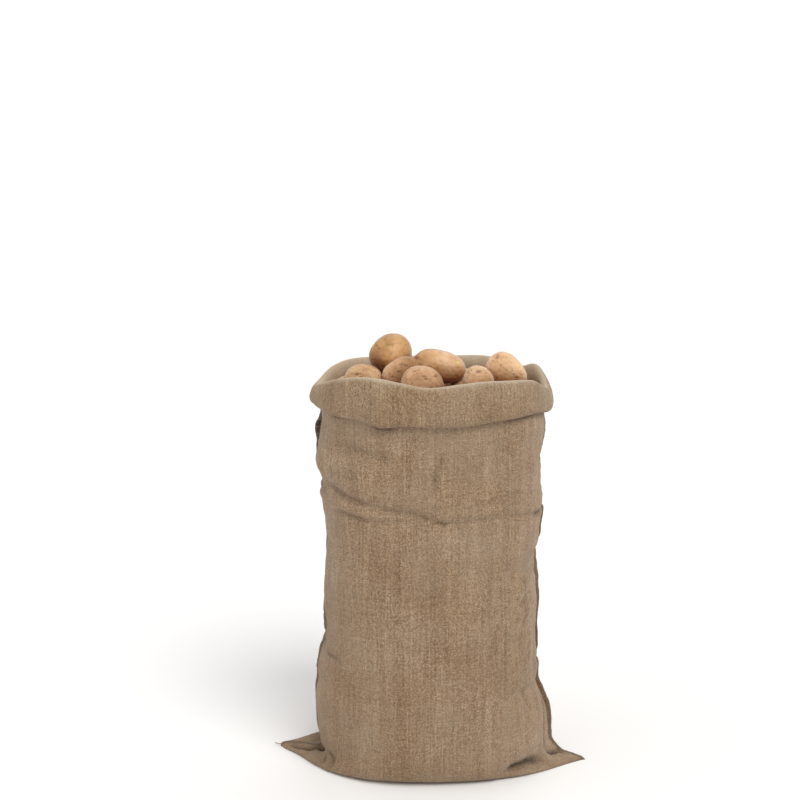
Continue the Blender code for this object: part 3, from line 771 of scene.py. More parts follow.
FOLDS = folds(
    Panel.FRONT,
    (
        # under the cuff: a hollow, the full band below it, and a round right shoulder
        (11, -8.5, 0.15, (-172, 628), (-137, 621), (-110, 617), (-84, 611), (-45, 598)),
        (14, 5, 0, (-182, 585), (-150, 590), (-105, 592)),
        (20, 5.5, 0, (-186, 610), (-184, 565)),
        (12, 6, 0, (150, 650), (180, 652), (196, 645)),
        (16, -3.5, 0, (100, 628), (150, 618)),
        (20, 3.5, 0, (178, 615), (184, 560), (178, 535)),
        # the upright crease in the middle, and the ridge right of it
        (4.2, -3.4, 0.35, (24, 658), (24, 634), (19, 610), (11, 589), (7, 570), (-5, 548),
         (-6, 527)),
        (9, 2, 0, (34, 648), (32, 610), (24, 586), (16, 555)),
        (11, 1.8, 0, (5, 640), (-4, 600), (-12, 565)),
        # the slump: the sack sags over it, and it breaks at a knot near the middle
        (26, 6, 0, (-190, 562), (-100, 552), (0, 535), (100, 528), (190, 520)),
        (7.8, -5.6, 0.45, (-182, 558), (-171, 548), (-160, 540), (-140, 533), (-115, 530),
         (-85, 527)),
        (6.8, -4.6, 0.35, (-100, 529), (-65, 523), (-41, 523), (-22, 520), (-9, 512),
         (8, 505), (23, 502)),
        (6, 4.6, 0, (-190, 527), (-177, 520), (-154, 519), (-131, 516), (-111, 510),
         (-91, 507), (-65, 510), (-41, 510)),
        (5.8, -3.4, 0.25, (-162, 507), (-134, 505), (-116, 501), (-98, 494)),
        (5.5, -4.8, 0.5, (10, 503), (26, 499), (40, 502)),
        (8, 2.4, 0, (20, 514), (71, 516), (124, 515), (178, 508), (200, 498)),
        (4.6, -2.2, 0.2, (36, 501), (63, 502), (98, 504), (125, 503)),
        (5, -2.6, 0.2, (125, 503), (155, 500), (178, 496), (196, 489)),
        (5, -6, 0.8, (188, 492), (203, 486)),
        (5, -2.2, 0.25, (71, 529), (106, 537), (145, 544), (168, 538)),
        (6, 1.6, 0, (80, 541), (120, 549), (155, 553)),
        # puckers towards the right seam
        (6, 4.4, 0, (190, 392), (176, 370), (160, 350), (148, 333)),
        (5, -3.6, 0.4, (180, 348), (168, 336), (158, 326)),
        (5, 3.4, 0, (188, 330), (178, 318), (168, 305)),
        (4.5, -3.6, 0.5, (180, 308), (172, 298), (167, 284)),
        (8.5, 3.4, 0, (185, 292), (184, 250), (182, 200)),
        (7, -2.6, 0, (163, 290), (160, 250), (158, 215)),
        (9, -3.2, 0, (150, 400), (145, 380)),
        (5, 3.2, 0, (145, 167), (161, 177), (184, 172), (196, 166)),
        (5.2, -3.4, 0.3, (158, 172), (168, 162), (176, 148), (183, 125)),
        (4.5, -2.4, 0.3, (172, 126), (180, 112), (183, 94)),
        (9, 2.8, 0, (195, 145), (200, 110), (198, 70)),
        # towards the left seam
        (5, -3.6, 0.5, (-184, 225), (-170, 222), (-151, 218)),
        (6.5, 2.2, 0, (-186, 237), (-160, 232)),
        (6.5, 1.8, 0, (-162, 273), (-146, 265)),
        (11, -3.4, 0, (-187, 108), (-149, 106), (-118, 98)),
        (14, 2.6, 0, (-180, 75), (-140, 72)),
        (12, 2.2, 0, (-178, 145), (-130, 140)),
        (7, -2.8, 0, (-186, 440), (-168, 434), (-150, 436)),
        # slack down the front
        (30, -2.5, 0, (-100, 440), (-110, 200)),
        (34, 2.5, 0, (40, 400), (60, 120)),
        (24, -2.2, 0, (-185, 330), (-120, 280)),
        # over the foot, and along the right seam down into its ear
        (9.5, -13, 0.9, (134, 17), (158, 24), (186, 25), (213, 19)),
        (8, 4, 0, (150, 54), (180, 62), (203, 58)),
        (5, 4, 0, (140, 6), (190, 7), (225, 6), (255, 4)),
        (4.8, -10, 0.7, (198, 158), (205, 143), (212, 112), (214, 85), (214, 55), (215, 36),
         (221, 21)),
        (4.2, -9, 1.0, (219, 24), (230, 16), (243, 13), (256, 10)),
        # the left ear: a deep slot between its two flaps, and the pucker at its end
        (5.2, -12.5, 1.0, (-264, 7), (-245, 10), (-231, 11), (-219, 12), (-204, 17), (-190, 27)),
        (4.5, 4, 0, (-250, 4), (-232, 4), (-214, 5), (-200, 8)),
        (4, -3.6, 0.5, (-187, 28), (-188, 16), (-192, 6)),
        (5, -4, 0.6, (-182, 36), (-172, 26), (-174, 13)),
        (4.5, 2.4, 0, (-183, 24), (-180, 12)),
    ),
) + folds(
    Panel.BACK,
    (
        (24, 5.5, 0, (-180, 555), (-80, 540), (60, 525), (180, 520)),
        (6.5, -6.2, 0.4, (-185, 545), (-140, 532), (-100, 520), (-50, 507), (0, 501)),
        (7, 4.4, 0, (-150, 517), (-110, 504), (-60, 492), (-10, 487)),
        (6, -5.6, 0.4, (-20, 498), (40, 494), (90, 500), (140, 497), (198, 486)),
        (7.5, 3.4, 0, (30, 480), (90, 486), (150, 482)),
        (6, -3, 0, (-120, 572), (-60, 560), (-20, 566)),
        (6, -4, 0.4, (30, 655), (22, 625), (8, 592), (12, 560)),
        (10, 2.6, 0, (48, 645), (42, 600), (30, 560)),
        (10, -4.5, 0, (80, 622), (130, 618), (170, 625)),
        (30, -3, 0, (-90, 420), (-60, 160)),
        (28, 3, 0, (110, 380), (80, 120)),
        (6, -3.8, 0.4, (-190, 182), (-160, 196), (-120, 206)),
        (7, 3, 0, (-186, 196), (-150, 211)),
        (6, -3.8, 0.4, (190, 330), (160, 340), (125, 352)),
        (6, 3.6, 0, (186, 316), (150, 328)),
        (6, -3.8, 0.4, (-186, 402), (-165, 392), (-150, 376)),
        (10, -6, 0.4, (-215, 26), (-180, 30), (-140, 22)),
        (6, -5, 0.4, (225, 22), (200, 34), (165, 26)),
    ),
)


class Fin(NamedTuple):
    """How far a seam's fin stands out and leans back at one height.

    `shade` is how dark it is painted, as painted shade where the fin lies in shadow, from 0 to 1.
    """

    height: float
    reach: float
    lean: float
    shade: float


# Millimetres, with the shade last
LEFT_FIN, RIGHT_FIN = (
    tuple(Fin(*(size / MM for size in sizes), shade) for *sizes, shade in rows)
    for rows in (
        (
            (0, 2, 0, 0.55), (30, 3, 3, 0.55), (70, 1.2, 3, 0.55), (95, 3.5, 4, 0.55),
            (118, 1.2, 4, 0.55), (140, 6, 6, 0.55), (175, 7, 8, 0.55), (192, 4, 7, 0.55),
            (212, 5, 7, 0.55), (235, 2, 4, 0.55), (252, 8, 8, 0.55), (288, 8, 8, 0.55),
            (310, 3, 6, 0.55), (350, 2, 5, 0.55), (385, 2.5, 5, 0.55), (402, 5, 7, 0.55),
            (435, 5, 7, 0.55), (452, 2, 5, 0.55), (500, 1.2, 4, 0.70), (530, 1.2, 4, 0.70),
            (545, 7, 7, 1.00), (560, 2.5, 5, 1.00), (580, 2, 5, 1.00), (600, 5, 6, 1.00),
            (620, 10, 8, 1.00), (640, 9, 7, 1.00), (655, 3.5, 3, 0.60), (668, 1.5, 1, 0.60),
            (682, 0, 0, 0.00), (800, 0, 0, 0.00),
        ),
        (
            (0, 3, 0, 0.40), (20, 6, 0, 0.40), (45, 6.5, 0, 0.40), (70, 8, -1, 0.40),
            (100, 9, -2, 0.40), (130, 9, -1, 0.40), (160, 7, 1, 0.40), (180, 4, 0, 0.40),
            (200, 1.2, 0, 0.30), (226, 5, -2, 0.30), (270, 6, -1, 0.30), (330, 6.8, 1, 0.30),
            (400, 6.6, 1, 0.30), (414, 2, 0, 0.30), (424, 4.2, -1, 0.30), (478, 4.2, -1, 0.30),
            (495, 1.5, 0, 0.30), (570, 1.6, 1, 0.20), (586, 1.2, 0, 0.00),
            (600, 1.6, -1, 0.00), (648, 1.6, 0, 0.00), (660, 1.6, 0, 0.00),
            (670, 1.5, 0, 0.00), (682, 0, 0, 0.00), (800, 0, 0, 0.00),
        ),
    )
)


class Pinch(NamedTuple):
    """Where a seam's edge is drawn in: its side, height, depth and spread."""

    side: int
    height: float
    depth: float
    spread: float


PINCHES = (
    Pinch(1, 0.585, 0.0040, 0.0080),
    Pinch(1, 0.492, 0.0040, 0.0060),
    Pinch(1, 0.415, 0.0060, 0.0100),
    Pinch(1, 0.200, 0.0050, 0.0090),
    Pinch(-1, 0.530, 0.0040, 0.0080),
    Pinch(-1, 0.235, 0.0040, 0.0080),
)


class Wave(NamedTuple):
    """A smooth, random unevenness of the cloth: its height, lumps and seed."""

    rise: float
    pitch: tuple[float, float, float]
    seed: float

    def at(self, points: np.ndarray) -> np.ndarray:
        """The rise at each point."""
        return self.rise * noise_at(points, self.pitch, self.seed)


@dataclass
class Puckers:
    """Small random puckers that run from a seam into the panels beside it."""

    first: float = 0.05
    last: float = 0.64
    slope: float = 0.5
    reach: tuple[float, float] = (0.018, 0.05)
    spread: tuple[float, float] = (0.004, 0.0075)
    lift: tuple[float, float] = (0.0008, 0.0020)
    spacing: tuple[float, float] = (0.012, 0.030)
    clear: tuple[float, float] = (0.001, 0.012)

    def rise(
        self, picker: random.Random, z: np.ndarray, away: np.ndarray, sin: np.ndarray
    ) -> np.ndarray:
        """How far one seam's puckers lift the cloth.

        Args:
            picker: Draws the puckers.
            z: Height of each point.
            away: How far each column lies from the seam, in metres.
            sin: Sine of each column's angle.

        Returns:
            The rise at each point.
        """
        rise = 0.0 * z
        height = self.first
        while height < self.last:
            for panel in Panel:
                slope = picker.uniform(-self.slope, self.slope)
                reach = picker.uniform(*self.reach)
                spread = picker.uniform(*self.spread)
                lift = picker.choice((-1, 1)) * picker.uniform(*self.lift)
                on = (sin * panel.value > 0) * smooth_step(away, *self.clear)
                line = z - height - slope * away
                rise = rise + lift * bell(line, spread) * bell(away, reach) * on
            height += picker.uniform(*self.spacing)
        return rise


@dataclass
class HessianCloth:
    """The sack's cloth: one length, folded under the base and sewn up its sides.

    It is a closed thin shell. Its outer and inner skins stand `thickness`
    apart, and each is a grid of rings from the floor to the cuff's hem.
    """

    thickness: float = 0.002
    columns_a_side: int = 120
    wall_step: float = 0.0064
    fold_step: float = 0.0034
    fine_bands: tuple[tuple[float, float], ...] = ((0.0, 0.05), (0.48, 0.545))
    first_columns: tuple[float, float] = (0.028, 0.058)
    base_rings: int = 4
    # The ears and the foot
    ear_width: float = 0.20
    ear_point: float = 1.3
    ear_height: float = 0.068
    ear_gap: float = 0.006
    flat_ear: float = 1.5
    round_side: float = 4.0
    left_fullness: tuple[float, float] = (0.70, -0.10)
    tip_back: tuple[float, float] = (-0.022, 0.030)
    foot: float = 0.014
    # The folds and the small unevenness of the wall and the cuff
    fold_end: float = 0.25
    # Power that narrows the painted shade at a fold's bottom
    fold_depth: float = 1.5
    pinch_width: float = 0.30
    pinch_shade: float = 0.5
    waves: tuple[Wave, ...] = (
        Wave(0.0022, (0.075, 0.075, 0.10), 3.0),
        Wave(0.0012, (0.030, 0.030, 0.045), 11.0),
        Wave(0.00045, (0.012, 0.012, 0.020), 23.0),
    )
    cuff_waves: tuple[Wave, ...] = (
        Wave(0.0016, (0.05, 0.05, 0.03), 41.0),
        Wave(0.0007, (0.018, 0.018, 0.016), 57.0),
    )
    # The seams: the profile is a place along the ring and a share of the reach
    # for each of the fin's columns
    fin_profile: tuple[tuple[float, float], ...] = (
        (-0.0026, 0.00),
        (-0.0018, 0.45),
        (-0.0016, 0.95),
        (0.0, 0.72),
        (0.0016, 0.95),
        (0.0018, 0.45),
        (0.0026, 0.00),
    )
    inner_fin: float = 0.5
    # Share, pitch and shift of seed of the waves along a fin's edge
    ruffle: float = 0.0010
    ruffle_waves: tuple[tuple[float, float, float], ...] = ((1.0, 0.014, 0.0), (0.6, 0.0055, 9.0))
    fray: float = 0.16
    least_fin: float = 0.0025
    groove: tuple[float, float] = (0.003, 0.005)
    groove_width: float = 0.13
    groove_ends: tuple[float, float, float, float] = (0.09, 0.16, 0.60, 0.64)
    half_width: float = 0.19
    puckers: Puckers = field(default_factory=Puckers)
    # The rim and the cuff, after shares of the way from the wall to the neck
    neck_steps: tuple[float, float] = (0.45, 1.0)
    turn_steps: int = 3
    # Painted highlight along the rim: the turn where it is full, and its spread inside and outside
    # it, in turns
    rim_turn: float = 4.7
    painted_rim_light: tuple[float, float] = (3.2, 0.8)
    full_cuff: float = 0.076
    roll: float = 0.024
    # Share and spread of the painted shadow under the hem
    hem_shadow: tuple[float, float] = (0.9, 0.0030)
    # Rings of the neck and of the hem that get that painted shadow
    shadow_rings: tuple[int, int] = (8, 9)
    finish: HessianFinish = field(default_factory=HessianFinish)
    outer: np.ndarray = field(init=False)

    @property
    def fin(self) -> int:
        """Number of columns of a seam's fin."""
        return len(self.fin_profile)

    def build(self) -> bpy.types.Object:
        """Lofts the cloth and dresses it.

        Returns:
            The cloth's object, riding on the sack's body.
        """
        middle, deep = self.middle_surface(self.column_angles())
        self.outer, inner = self.skins(middle)
        mesh = bmesh.new()
        hem = self.add_skin(mesh, self.outer, deep, 0) + self.add_skin(mesh, inner, deep, 1)
        bmesh.ops.bridge_loops(mesh, edges=hem)
        bmesh.ops.recalc_face_normals(mesh, faces=mesh.faces)
        cloth = link_object("hessian_cloth", mesh, self.finish.build())
        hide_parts("sack")
        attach(cloth, BODY)
        return cloth

    def column_angles(self) -> np.ndarray:
        """Angles of the columns: right seam, back, left seam, front."""
        first, second = self.first_columns
        middle = np.linspace(second, math.pi - second, self.columns_a_side - 2)
        side = np.concatenate([[first], middle, [math.pi - first]])
        return np.concatenate([[0.0], side, [math.pi], side + math.pi])

    def from_seams(self, angles: np.ndarray) -> tuple[np.ndarray, np.ndarray]:
        """Angle of each column from the right and from the left seam."""
        from_right = np.arccos(np.clip(np.cos(angles), -1.0, 1.0))
        return from_right, math.pi - from_right

    def outward(self, points: np.ndarray) -> np.ndarray:
        """Horizontal unit normals of closed rings of points, one ring a row."""
        along = np.roll(points, -1, axis=1) - np.roll(points, 1, axis=1)
        normals = np.stack([along[..., 1], -along[..., 0], 0.0 * along[..., 0]], axis=-1)
        return normals / np.linalg.norm(normals, axis=-1, keepdims=True)

    def normals(self, points: np.ndarray) -> np.ndarray:
        """Unit normals of a grid of closed rings, outward on the wall."""
        along = np.roll(points, -1, axis=1) - np.roll(points, 1, axis=1)
        across = np.cross(along, np.gradient(points, axis=0))
        return across / np.linalg.norm(across, axis=-1, keepdims=True)

    def section_points(self, sections: np.ndarray, angles: np.ndarray) -> np.ndarray:
        """The wall's rings at some sections, before any fold.

        Args:
            sections: Rows of numbers in the order of Section's fields.
            angles: Angles of the columns.

        Returns:
            An array of rings of points.
        """
        value = Section(*(sections[:, i, None] for i in range(len(Section._fields))))
        cos, sin = np.cos(angles)[None, :], np.sin(angles)[None, :]
        share_left = value.ear_left / SECTIONS[0].ear_left
        share_right = value.ear_right / SECTIONS[0].ear_right
        fullness = np.where(sin < 0, *self.left_fullness) * share_left * (cos < 0)
        power = 2.0 / (value.roundness + fullness)
        across = np.sign(cos) * np.abs(cos) ** power
        bulge = np.abs(sin) ** power
        near_right, near_left = (
            np.exp(-((away / self.ear_width) ** self.ear_point))
            for away in self.from_seams(angles)
        )
        x = across * np.where(cos > 0, value.right, -value.left)
        x = x + value.ear_right * near_right - value.ear_left * near_left
        sweep = np.where(cos > 0, self.tip_back[0] * share_right, self.tip_back[1] * share_left)
        y = sweep * np.abs(across) ** 3 + np.where(sin < 0, value.front, value.back) * bulge
        side = np.where(cos > 0, value.side_right, value.side_left)
        fall = np.where((cos < 0) & (sin > 0), self.flat_ear, self.round_side)
        z = value.middle + (side - value.middle) * np.abs(across) ** fall
        return np.stack([x, y, z], axis=-1)

    def wall_stations(self) -> np.ndarray:
        """Places between the sections to read, closer together at the slump."""
        stations = [0.0]
        for index, (low, high) in enumerate(zip(SECTIONS, SECTIONS[1:])):
            fine = any(start <= low.middle <= end for start, end in self.fine_bands)
            step = self.fold_step if fine else self.wall_step
            pieces = math.ceil((high.middle - low.middle) / step)
            stations += [index + (piece + 1) / pieces for piece in range(pieces)]
        return np.array(stations)

    def fold_rise(self, points: np.ndarray, facing: np.ndarray, fold: Fold) -> np.ndarray:
        """How far one fold lifts the cloth.

        Args:
            points: The wall's plain rings.
            facing: How far each point faces the fold's panel, from 0 to 1.
            fold: The fold.

        Returns:
            The rise at each point.
        """
        seen = points[..., (0, 2)] + (1 - np.sign(facing))[..., None]
        stops = []
        for place in fold.path:
            away = np.linalg.norm(seen - place, axis=-1)
            stops.append(points[np.unravel_index(np.argmin(away), away.shape)])
        lengths = [np.linalg.norm(end - start) + 1e-9 for start, end in zip(stops, stops[1:])]
        nearest = np.full(points.shape[:-1], np.inf)
        place = np.zeros(points.shape[:-1])
        done = 0.0
        for start, end, length in zip(stops, stops[1:], lengths):
            along = (end - start) / length
            held = np.clip((points - start) @ along, 0.0, length)
            away = np.linalg.norm(points - start - held[..., None] * along, axis=-1)
            place = np.where(away < nearest, (done + held) / sum(lengths), place)
            nearest = np.minimum(nearest, away)
            done += length
        inside = smooth_step(np.minimum(place, 1 - place), 0.0, self.fold_end)
        ends = self.fold_end + (1 - self.fold_end) * inside
        return fold.rise * bell(nearest, fold.spread) * ends * facing

    def seam_rise(self, points: np.ndarray, angles: np.ndarray) -> np.ndarray:
        """Grooves and puckers beside the two seams.

        Args:
            points: The wall's rings.
            angles: Angles of the columns.

        Returns:
            The rise at each point.
        """
        z, sin = points[..., 2], np.sin(angles)[None, :]
        start, low, high, end = self.groove_ends
        ends = smooth_step(z, start, low) * (1 - smooth_step(z, high, end))
        rise = 0.0 * z
        picker = random.Random(5)
        for groove, away in zip(self.groove, self.from_seams(angles)):
            away = away[None, :]
            rise = rise - groove * bell(away, self.groove_width) * ends
            rise = rise + self.puckers.rise(picker, z, away * self.half_width, sin)
        return rise

    def fold_wall(self, points: np.ndarray, angles: np.ndarray) -> tuple[np.ndarray, np.ndarray]:
        """Slumps, folds and wrinkles the wall's rings.

        Args:
            points: The plain rings.
            angles: Angles of the columns.

        Returns:
            The folded rings, and the share of painted shade at each point,
            highest at the bottom of the shaded folds, from 0 to 1.
        """
        sin = np.sin(angles)[None, :] + 0.0 * points[..., 0]
        rise, deep = 0.0 * sin, 0.0 * sin
        for fold in FOLDS:
            facing = smooth_step(sin * fold.panel.value, 0.0, 0.05)
            lifted = self.fold_rise(points, facing, fold)
            rise = rise + lifted
            # Painted shade at the bottom of the folds that have a shade
            deep = np.maximum(deep, (fold.shade * lifted / fold.rise) ** self.fold_depth)
        rise = rise + self.seam_rise(points, angles) + sum(wave.at(points) for wave in self.waves)
        rise = rise * smooth_step(points[..., 2], 0.0, self.foot)
        moved = points + self.normals(points) * rise[..., None]
        from_right, from_left = self.from_seams(angles)
        for pinch in PINCHES:
            near = bell(from_right if pinch.side > 0 else from_left, self.pinch_width)[None, :]
            share = bell(points[..., 2] - pinch.height, pinch.spread) * near
            moved[..., 0] -= pinch.side * pinch.depth * share
            # Painted shade where a seam's edge is drawn in
            deep = np.maximum(deep, self.pinch_shade * share)
        # No fold goes under the floor
        low = smooth_step(points[..., 2], 0.0, 2 * self.thickness)
        moved[..., 2] = np.maximum(moved[..., 2], 0.8 * self.thickness * low)
        return moved, deep

    def middle_surface(self, angles: np.ndarray) -> tuple[np.ndarray, np.ndarray]:
        """The cloth's middle surface, from the floor to the hem.

        Args:
            angles: Angles of the columns.

        Returns:
            An array of rings of points, and the share of painted shade at each,
            in the folds and in the crevice under the hem.
        """
        rows = table_array(SECTIONS)
        sections = spline(rows, np.arange(len(rows), dtype=float), self.wall_stations())
        wall, deep = self.fold_wall(self.section_points(sections, angles), angles)
        cuffs = table_array(CUFFS)
        around = np.array((360, 0, 0, 0))
        cuffs = np.concatenate([cuffs[-2:] - around, cuffs, cuffs[:2] + around])
        _angle, rim, edge, stand_off = spline(cuffs, cuffs[:, 0], np.degrees(angles)).T
        neck = self.section_points(table_array([NECK]), angles)
        out = self.outward(neck)[0]
        keys = [wall[-3], wall[-1]]
        for share in self.neck_steps:
            ring = wall[-1] + (neck[0] - wall[-1]) * share
            ring[:, 2] = wall[-1, :, 2] + (rim - self.roll - wall[-1, :, 2]) * share
            keys.append(ring)
        squat = np.minimum(1.0, (rim - edge) / self.full_cuff)
        for turn in TURNS:
            ring = neck[0] + out * (turn.out * stand_off)[:, None]
            ring[:, 2] = rim - turn.down * squat if turn.down >= 0 else edge + turn.up * squat
            keys.append(ring)
        places = np.arange(len(keys), dtype=float)
        first, last = self.turn_steps, (len(keys) - 1) * self.turn_steps
        steps = np.arange(first, last + 1) / self.turn_steps
        upper = spline(np.array(keys), places, steps)[1:]
        swell = sum(wave.at(upper) for wave in self.cuff_waves)
        upper = upper + self.outward(upper) * swell[..., None]
        whole = np.concatenate([wall, upper])
        # Painted shadow in the crevice under the hem, on the neck and on the hem's own rings
        share, spread = self.hem_shadow
        crevice = share * bell(whole[..., 2] - edge + self.thickness / 2, spread)
        on_neck, on_hem = self.shadow_rings
        crevice[len(wall) + on_neck : -on_hem] = 0.0
        return whole, np.maximum(np.concatenate([deep, 0.0 * upper[..., 0]]), crevice)

    def skins(self, middle: np.ndarray) -> tuple[np.ndarray, np.ndarray]:
        """Outer and inner grids of points, with their seams and their bases.

        Args:
            middle: The cloth's middle surface.

        Returns:
            The two grids, whose first rings close the base along its middle.
        """
        normals, out = self.normals(middle), self.outward(middle)
        outer = middle + normals * self.thickness / 2
        inner = middle - normals * self.thickness / 2
        outer[0] = middle[0] * (1, 1, 0)
        inner[0] = outer[0] - out[0] * self.thickness + (0, 0, self.thickness)
        heights = middle[:, 0, 2]
        turned = np.maximum.accumulate(heights) > heights + 1e-9
        reads = []
        for table in (table_array(RIGHT_FIN), table_array(LEFT_FIN)):
            held = np.clip(heights, table[0, 0], table[-1, 0])
            reads.append(spline(table, table[:, 0], held)[:, 1:3])
        fins = np.stack(reads)
        fins[..., 0] = np.maximum(fins[..., 0], 0.0)
        fins[:, turned] = 0.0
        ears = 1 - smooth_step(heights, 0.0, self.ear_height)
        for seam in (0, 1 + self.columns_a_side):
            inner[:, seam] -= out[:, seam] * (self.ear_gap * ears)[:, None]
        outer = self.sew(outer, out, self.fin_profile, fins)
        flat = tuple((place * self.inner_fin, 0.0) for place, _share in self.fin_profile)
        inner = self.sew(inner, out, flat, fins * 0.0)
        return self.close_base(outer), self.close_base(inner)

    def sew(
        self,
        skin: np.ndarray,
        out: np.ndarray,
        profile: Sequence[tuple[float, float]],
        fins: np.ndarray,
    ) -> np.ndarray:
        """Puts a fin's columns in the place of each seam's single column.

        Args:
            skin: Grid of points with one column at each seam.
            out: Horizontal outward directions of the grid.
            profile: Place along the ring and share of the reach, a column each.
            fins: Reach and lean of the right and the left seam's fins.

        Returns:
            The wider grid.
        """
        seams = (0, 1 + self.columns_a_side)
        run = skin[:, 0] * (0, 0, 1)
        columns = list(skin.swapaxes(0, 1))
        for seam, (reach, lean), seed in zip(seams, fins.swapaxes(1, 2), (2.3, 7.1)):
            wave = sum(
                share * noise_at(run, (1, 1, pitch), seed + shift)
                for share, pitch, shift in self.ruffle_waves
            )
            ruffled = self.ruffle * wave * (reach > self.least_fin)
            normal = out[:, seam]
            along = np.stack([-normal[:, 1], normal[:, 0], normal[:, 2]], axis=-1)
            fin = []
            for place, share in profile:
                point = skin[:, seam] + along * (place + share * ruffled)[:, None]
                point = point + normal * (reach * share * (1 + self.fray * wave))[:, None]
                point[:, 1] += lean * share
                fin.append(point)
            at = seam if seam == 0 else seam + len(profile) - 1
            columns[at : at + 1] = fin
        return np.stack(columns, axis=1)

    def close_base(self, skin: np.ndarray) -> np.ndarray:
        """Adds rings under the sack that end on the fold along its middle."""
        width = skin.shape[1]
        partner = (self.fin - 1 - np.arange(width)) % width
        first = skin[0]
        fold = (first + first[partner]) / 2
        shares = np.linspace(1.0, 0.0, self.base_rings, endpoint=False)
        rings = [first + (fold - first) * share for share in shares]
        return np.concatenate([np.array(rings), skin])

    def add_skin(
        self, mesh: bmesh.types.BMesh, skin: np.ndarray, deep: np.ndarray, side: int
    ) -> list[bmesh.types.BMEdge]:
        """Adds one skin to the mesh, with its UV map and its attributes.

        Args:
            mesh: The mesh under work.
            skin: The skin's grid of points.
            deep: Share of painted shade at each point of the middle surface.
            side: 0 for the outer skin and 1 for the inner one.

        Returns:
            The edges of its open hem.
        """
        rows, width = skin.shape[:2]
        layer = mesh.loops.layers.uv.get(CLOTH_MAP) or mesh.loops.layers.uv.new(CLOTH_MAP)
        turned, worn, seam, fold = (
            mesh.verts.layers.float.get(name) or mesh.verts.layers.float.new(name)
            for name in ("turned", "worn", "seam", "fold")
        )
        depths = self.widened(deep)
        grid = bmesh.ops.create_grid(mesh, x_segments=width, y_segments=rows - 1, size=0.5)
        verts = grid["verts"]
        wrapped = np.concatenate([skin, skin[:, :1]], axis=1)
        across, around, up = self.flat_places(wrapped)
        wall_rows = self.base_rings + len(self.wall_stations())
        neck_rows = 2 * self.turn_steps
        for vert in verts:
            column = round((vert.co.x + 0.5) * width)
            row = round((vert.co.y + 0.5) * (rows - 1))
            vert.index = row * (width + 1) + column
        right_seam = self.fin // 2
        left_seam = self.columns_a_side + self.fin + right_seam
        for face in {face for vert in verts for face in vert.link_faces}:
            first = min(loop.vert.index % (width + 1) for loop in face.loops)
            panel = 0 if right_seam <= first < left_seam else 1
            for loop in face.loops:
                row, column = divmod(loop.vert.index, width + 1)
                shift = around[row] if first < right_seam else 0.0
                loop[layer].uv = (across[panel][row, column] + shift, up[row, column])
        for vert in verts:
            row, column = divmod(vert.index, width + 1)
            vert.co = wrapped[row, column]
            vert[turned] = 1.0 if side or row > wall_rows + neck_rows else 0.0
            # Painted highlight along the top of the rim's roll
            from_rim = (row - wall_rows) / self.turn_steps - self.rim_turn
            vert[worn] = bell(from_rim, self.painted_rim_light[from_rim > 0])
            # Painted shade on the seams' fins and in the folds, on the outer skin only
            if not side:
                vert[seam], vert[fold] = depths[:, row, column % width]
        hem = [vert for vert in verts if vert.index // (width + 1) == rows - 1]
        merged = bmesh.ops.find_doubles(mesh, verts=verts, dist=1e-7)["targetmap"]
        bmesh.ops.weld_verts(mesh, targetmap=merged)
        ends = {vert for vert in hem if vert.is_valid}
        edges = {edge for vert in ends for edge in vert.link_edges}
        return [edge for edge in edges if edge.is_boundary and set(edge.verts) <= ends]

    def widened(self, deep: np.ndarray) -> np.ndarray:
        """Spreads a value of the middle surface over a skin's wider grid.

        Args:
            deep: Share of painted shade at each point of the middle surface.

        Returns:
            Two grids: the painted shade on the seams' fins, and the painted shade in the folds.
        """
        heights = self.outer[self.base_rings :, 0, 2]
        counts = np.ones(deep.shape[1], dtype=int)
        counts[[0, 1 + self.columns_a_side]] = self.fin
        wide = np.repeat(deep, counts, axis=1)
        wide = np.concatenate([np.repeat(wide[:1], self.base_rings, axis=0), wide])
        seam = np.zeros_like(wide)
        # Painted shade on each seam's fins, by height
        for first, table in ((0, RIGHT_FIN), (self.fin + self.columns_a_side, LEFT_FIN)):
            rows = table_array(table)
            shade = np.interp(heights, rows[:, 0], rows[:, 3])
            seam[self.base_rings :, first : first + self.fin] = shade[:, None]
        return np.stack([seam, wide])

    def flat_places(
        self, wrapped: np.ndarray
    ) -> tuple[tuple[np.ndarray, np.ndarray], np.ndarray, np.ndarray]:
        """Places on the flat cloth, in metres, of a grid of points.

        Args:
            wrapped: Grid of points whose last column repeats the first.

        Returns:
            The places across the back and the front panels, each measured
            from the panel's middle, the length round each ring, and the
            places along the cloth.
        """
        around = length_along(wrapped, 1)
        back = self.fin + self.columns_a_side // 2
        front = back + self.fin + self.columns_a_side
        up = length_along(wrapped, 0)
        across = tuple(around - around[:, middle, None] for middle in (back, front))
        return across, around[:, -1], up - up[self.base_rings]


# ----------------------------------------------------------- sewing and fibres


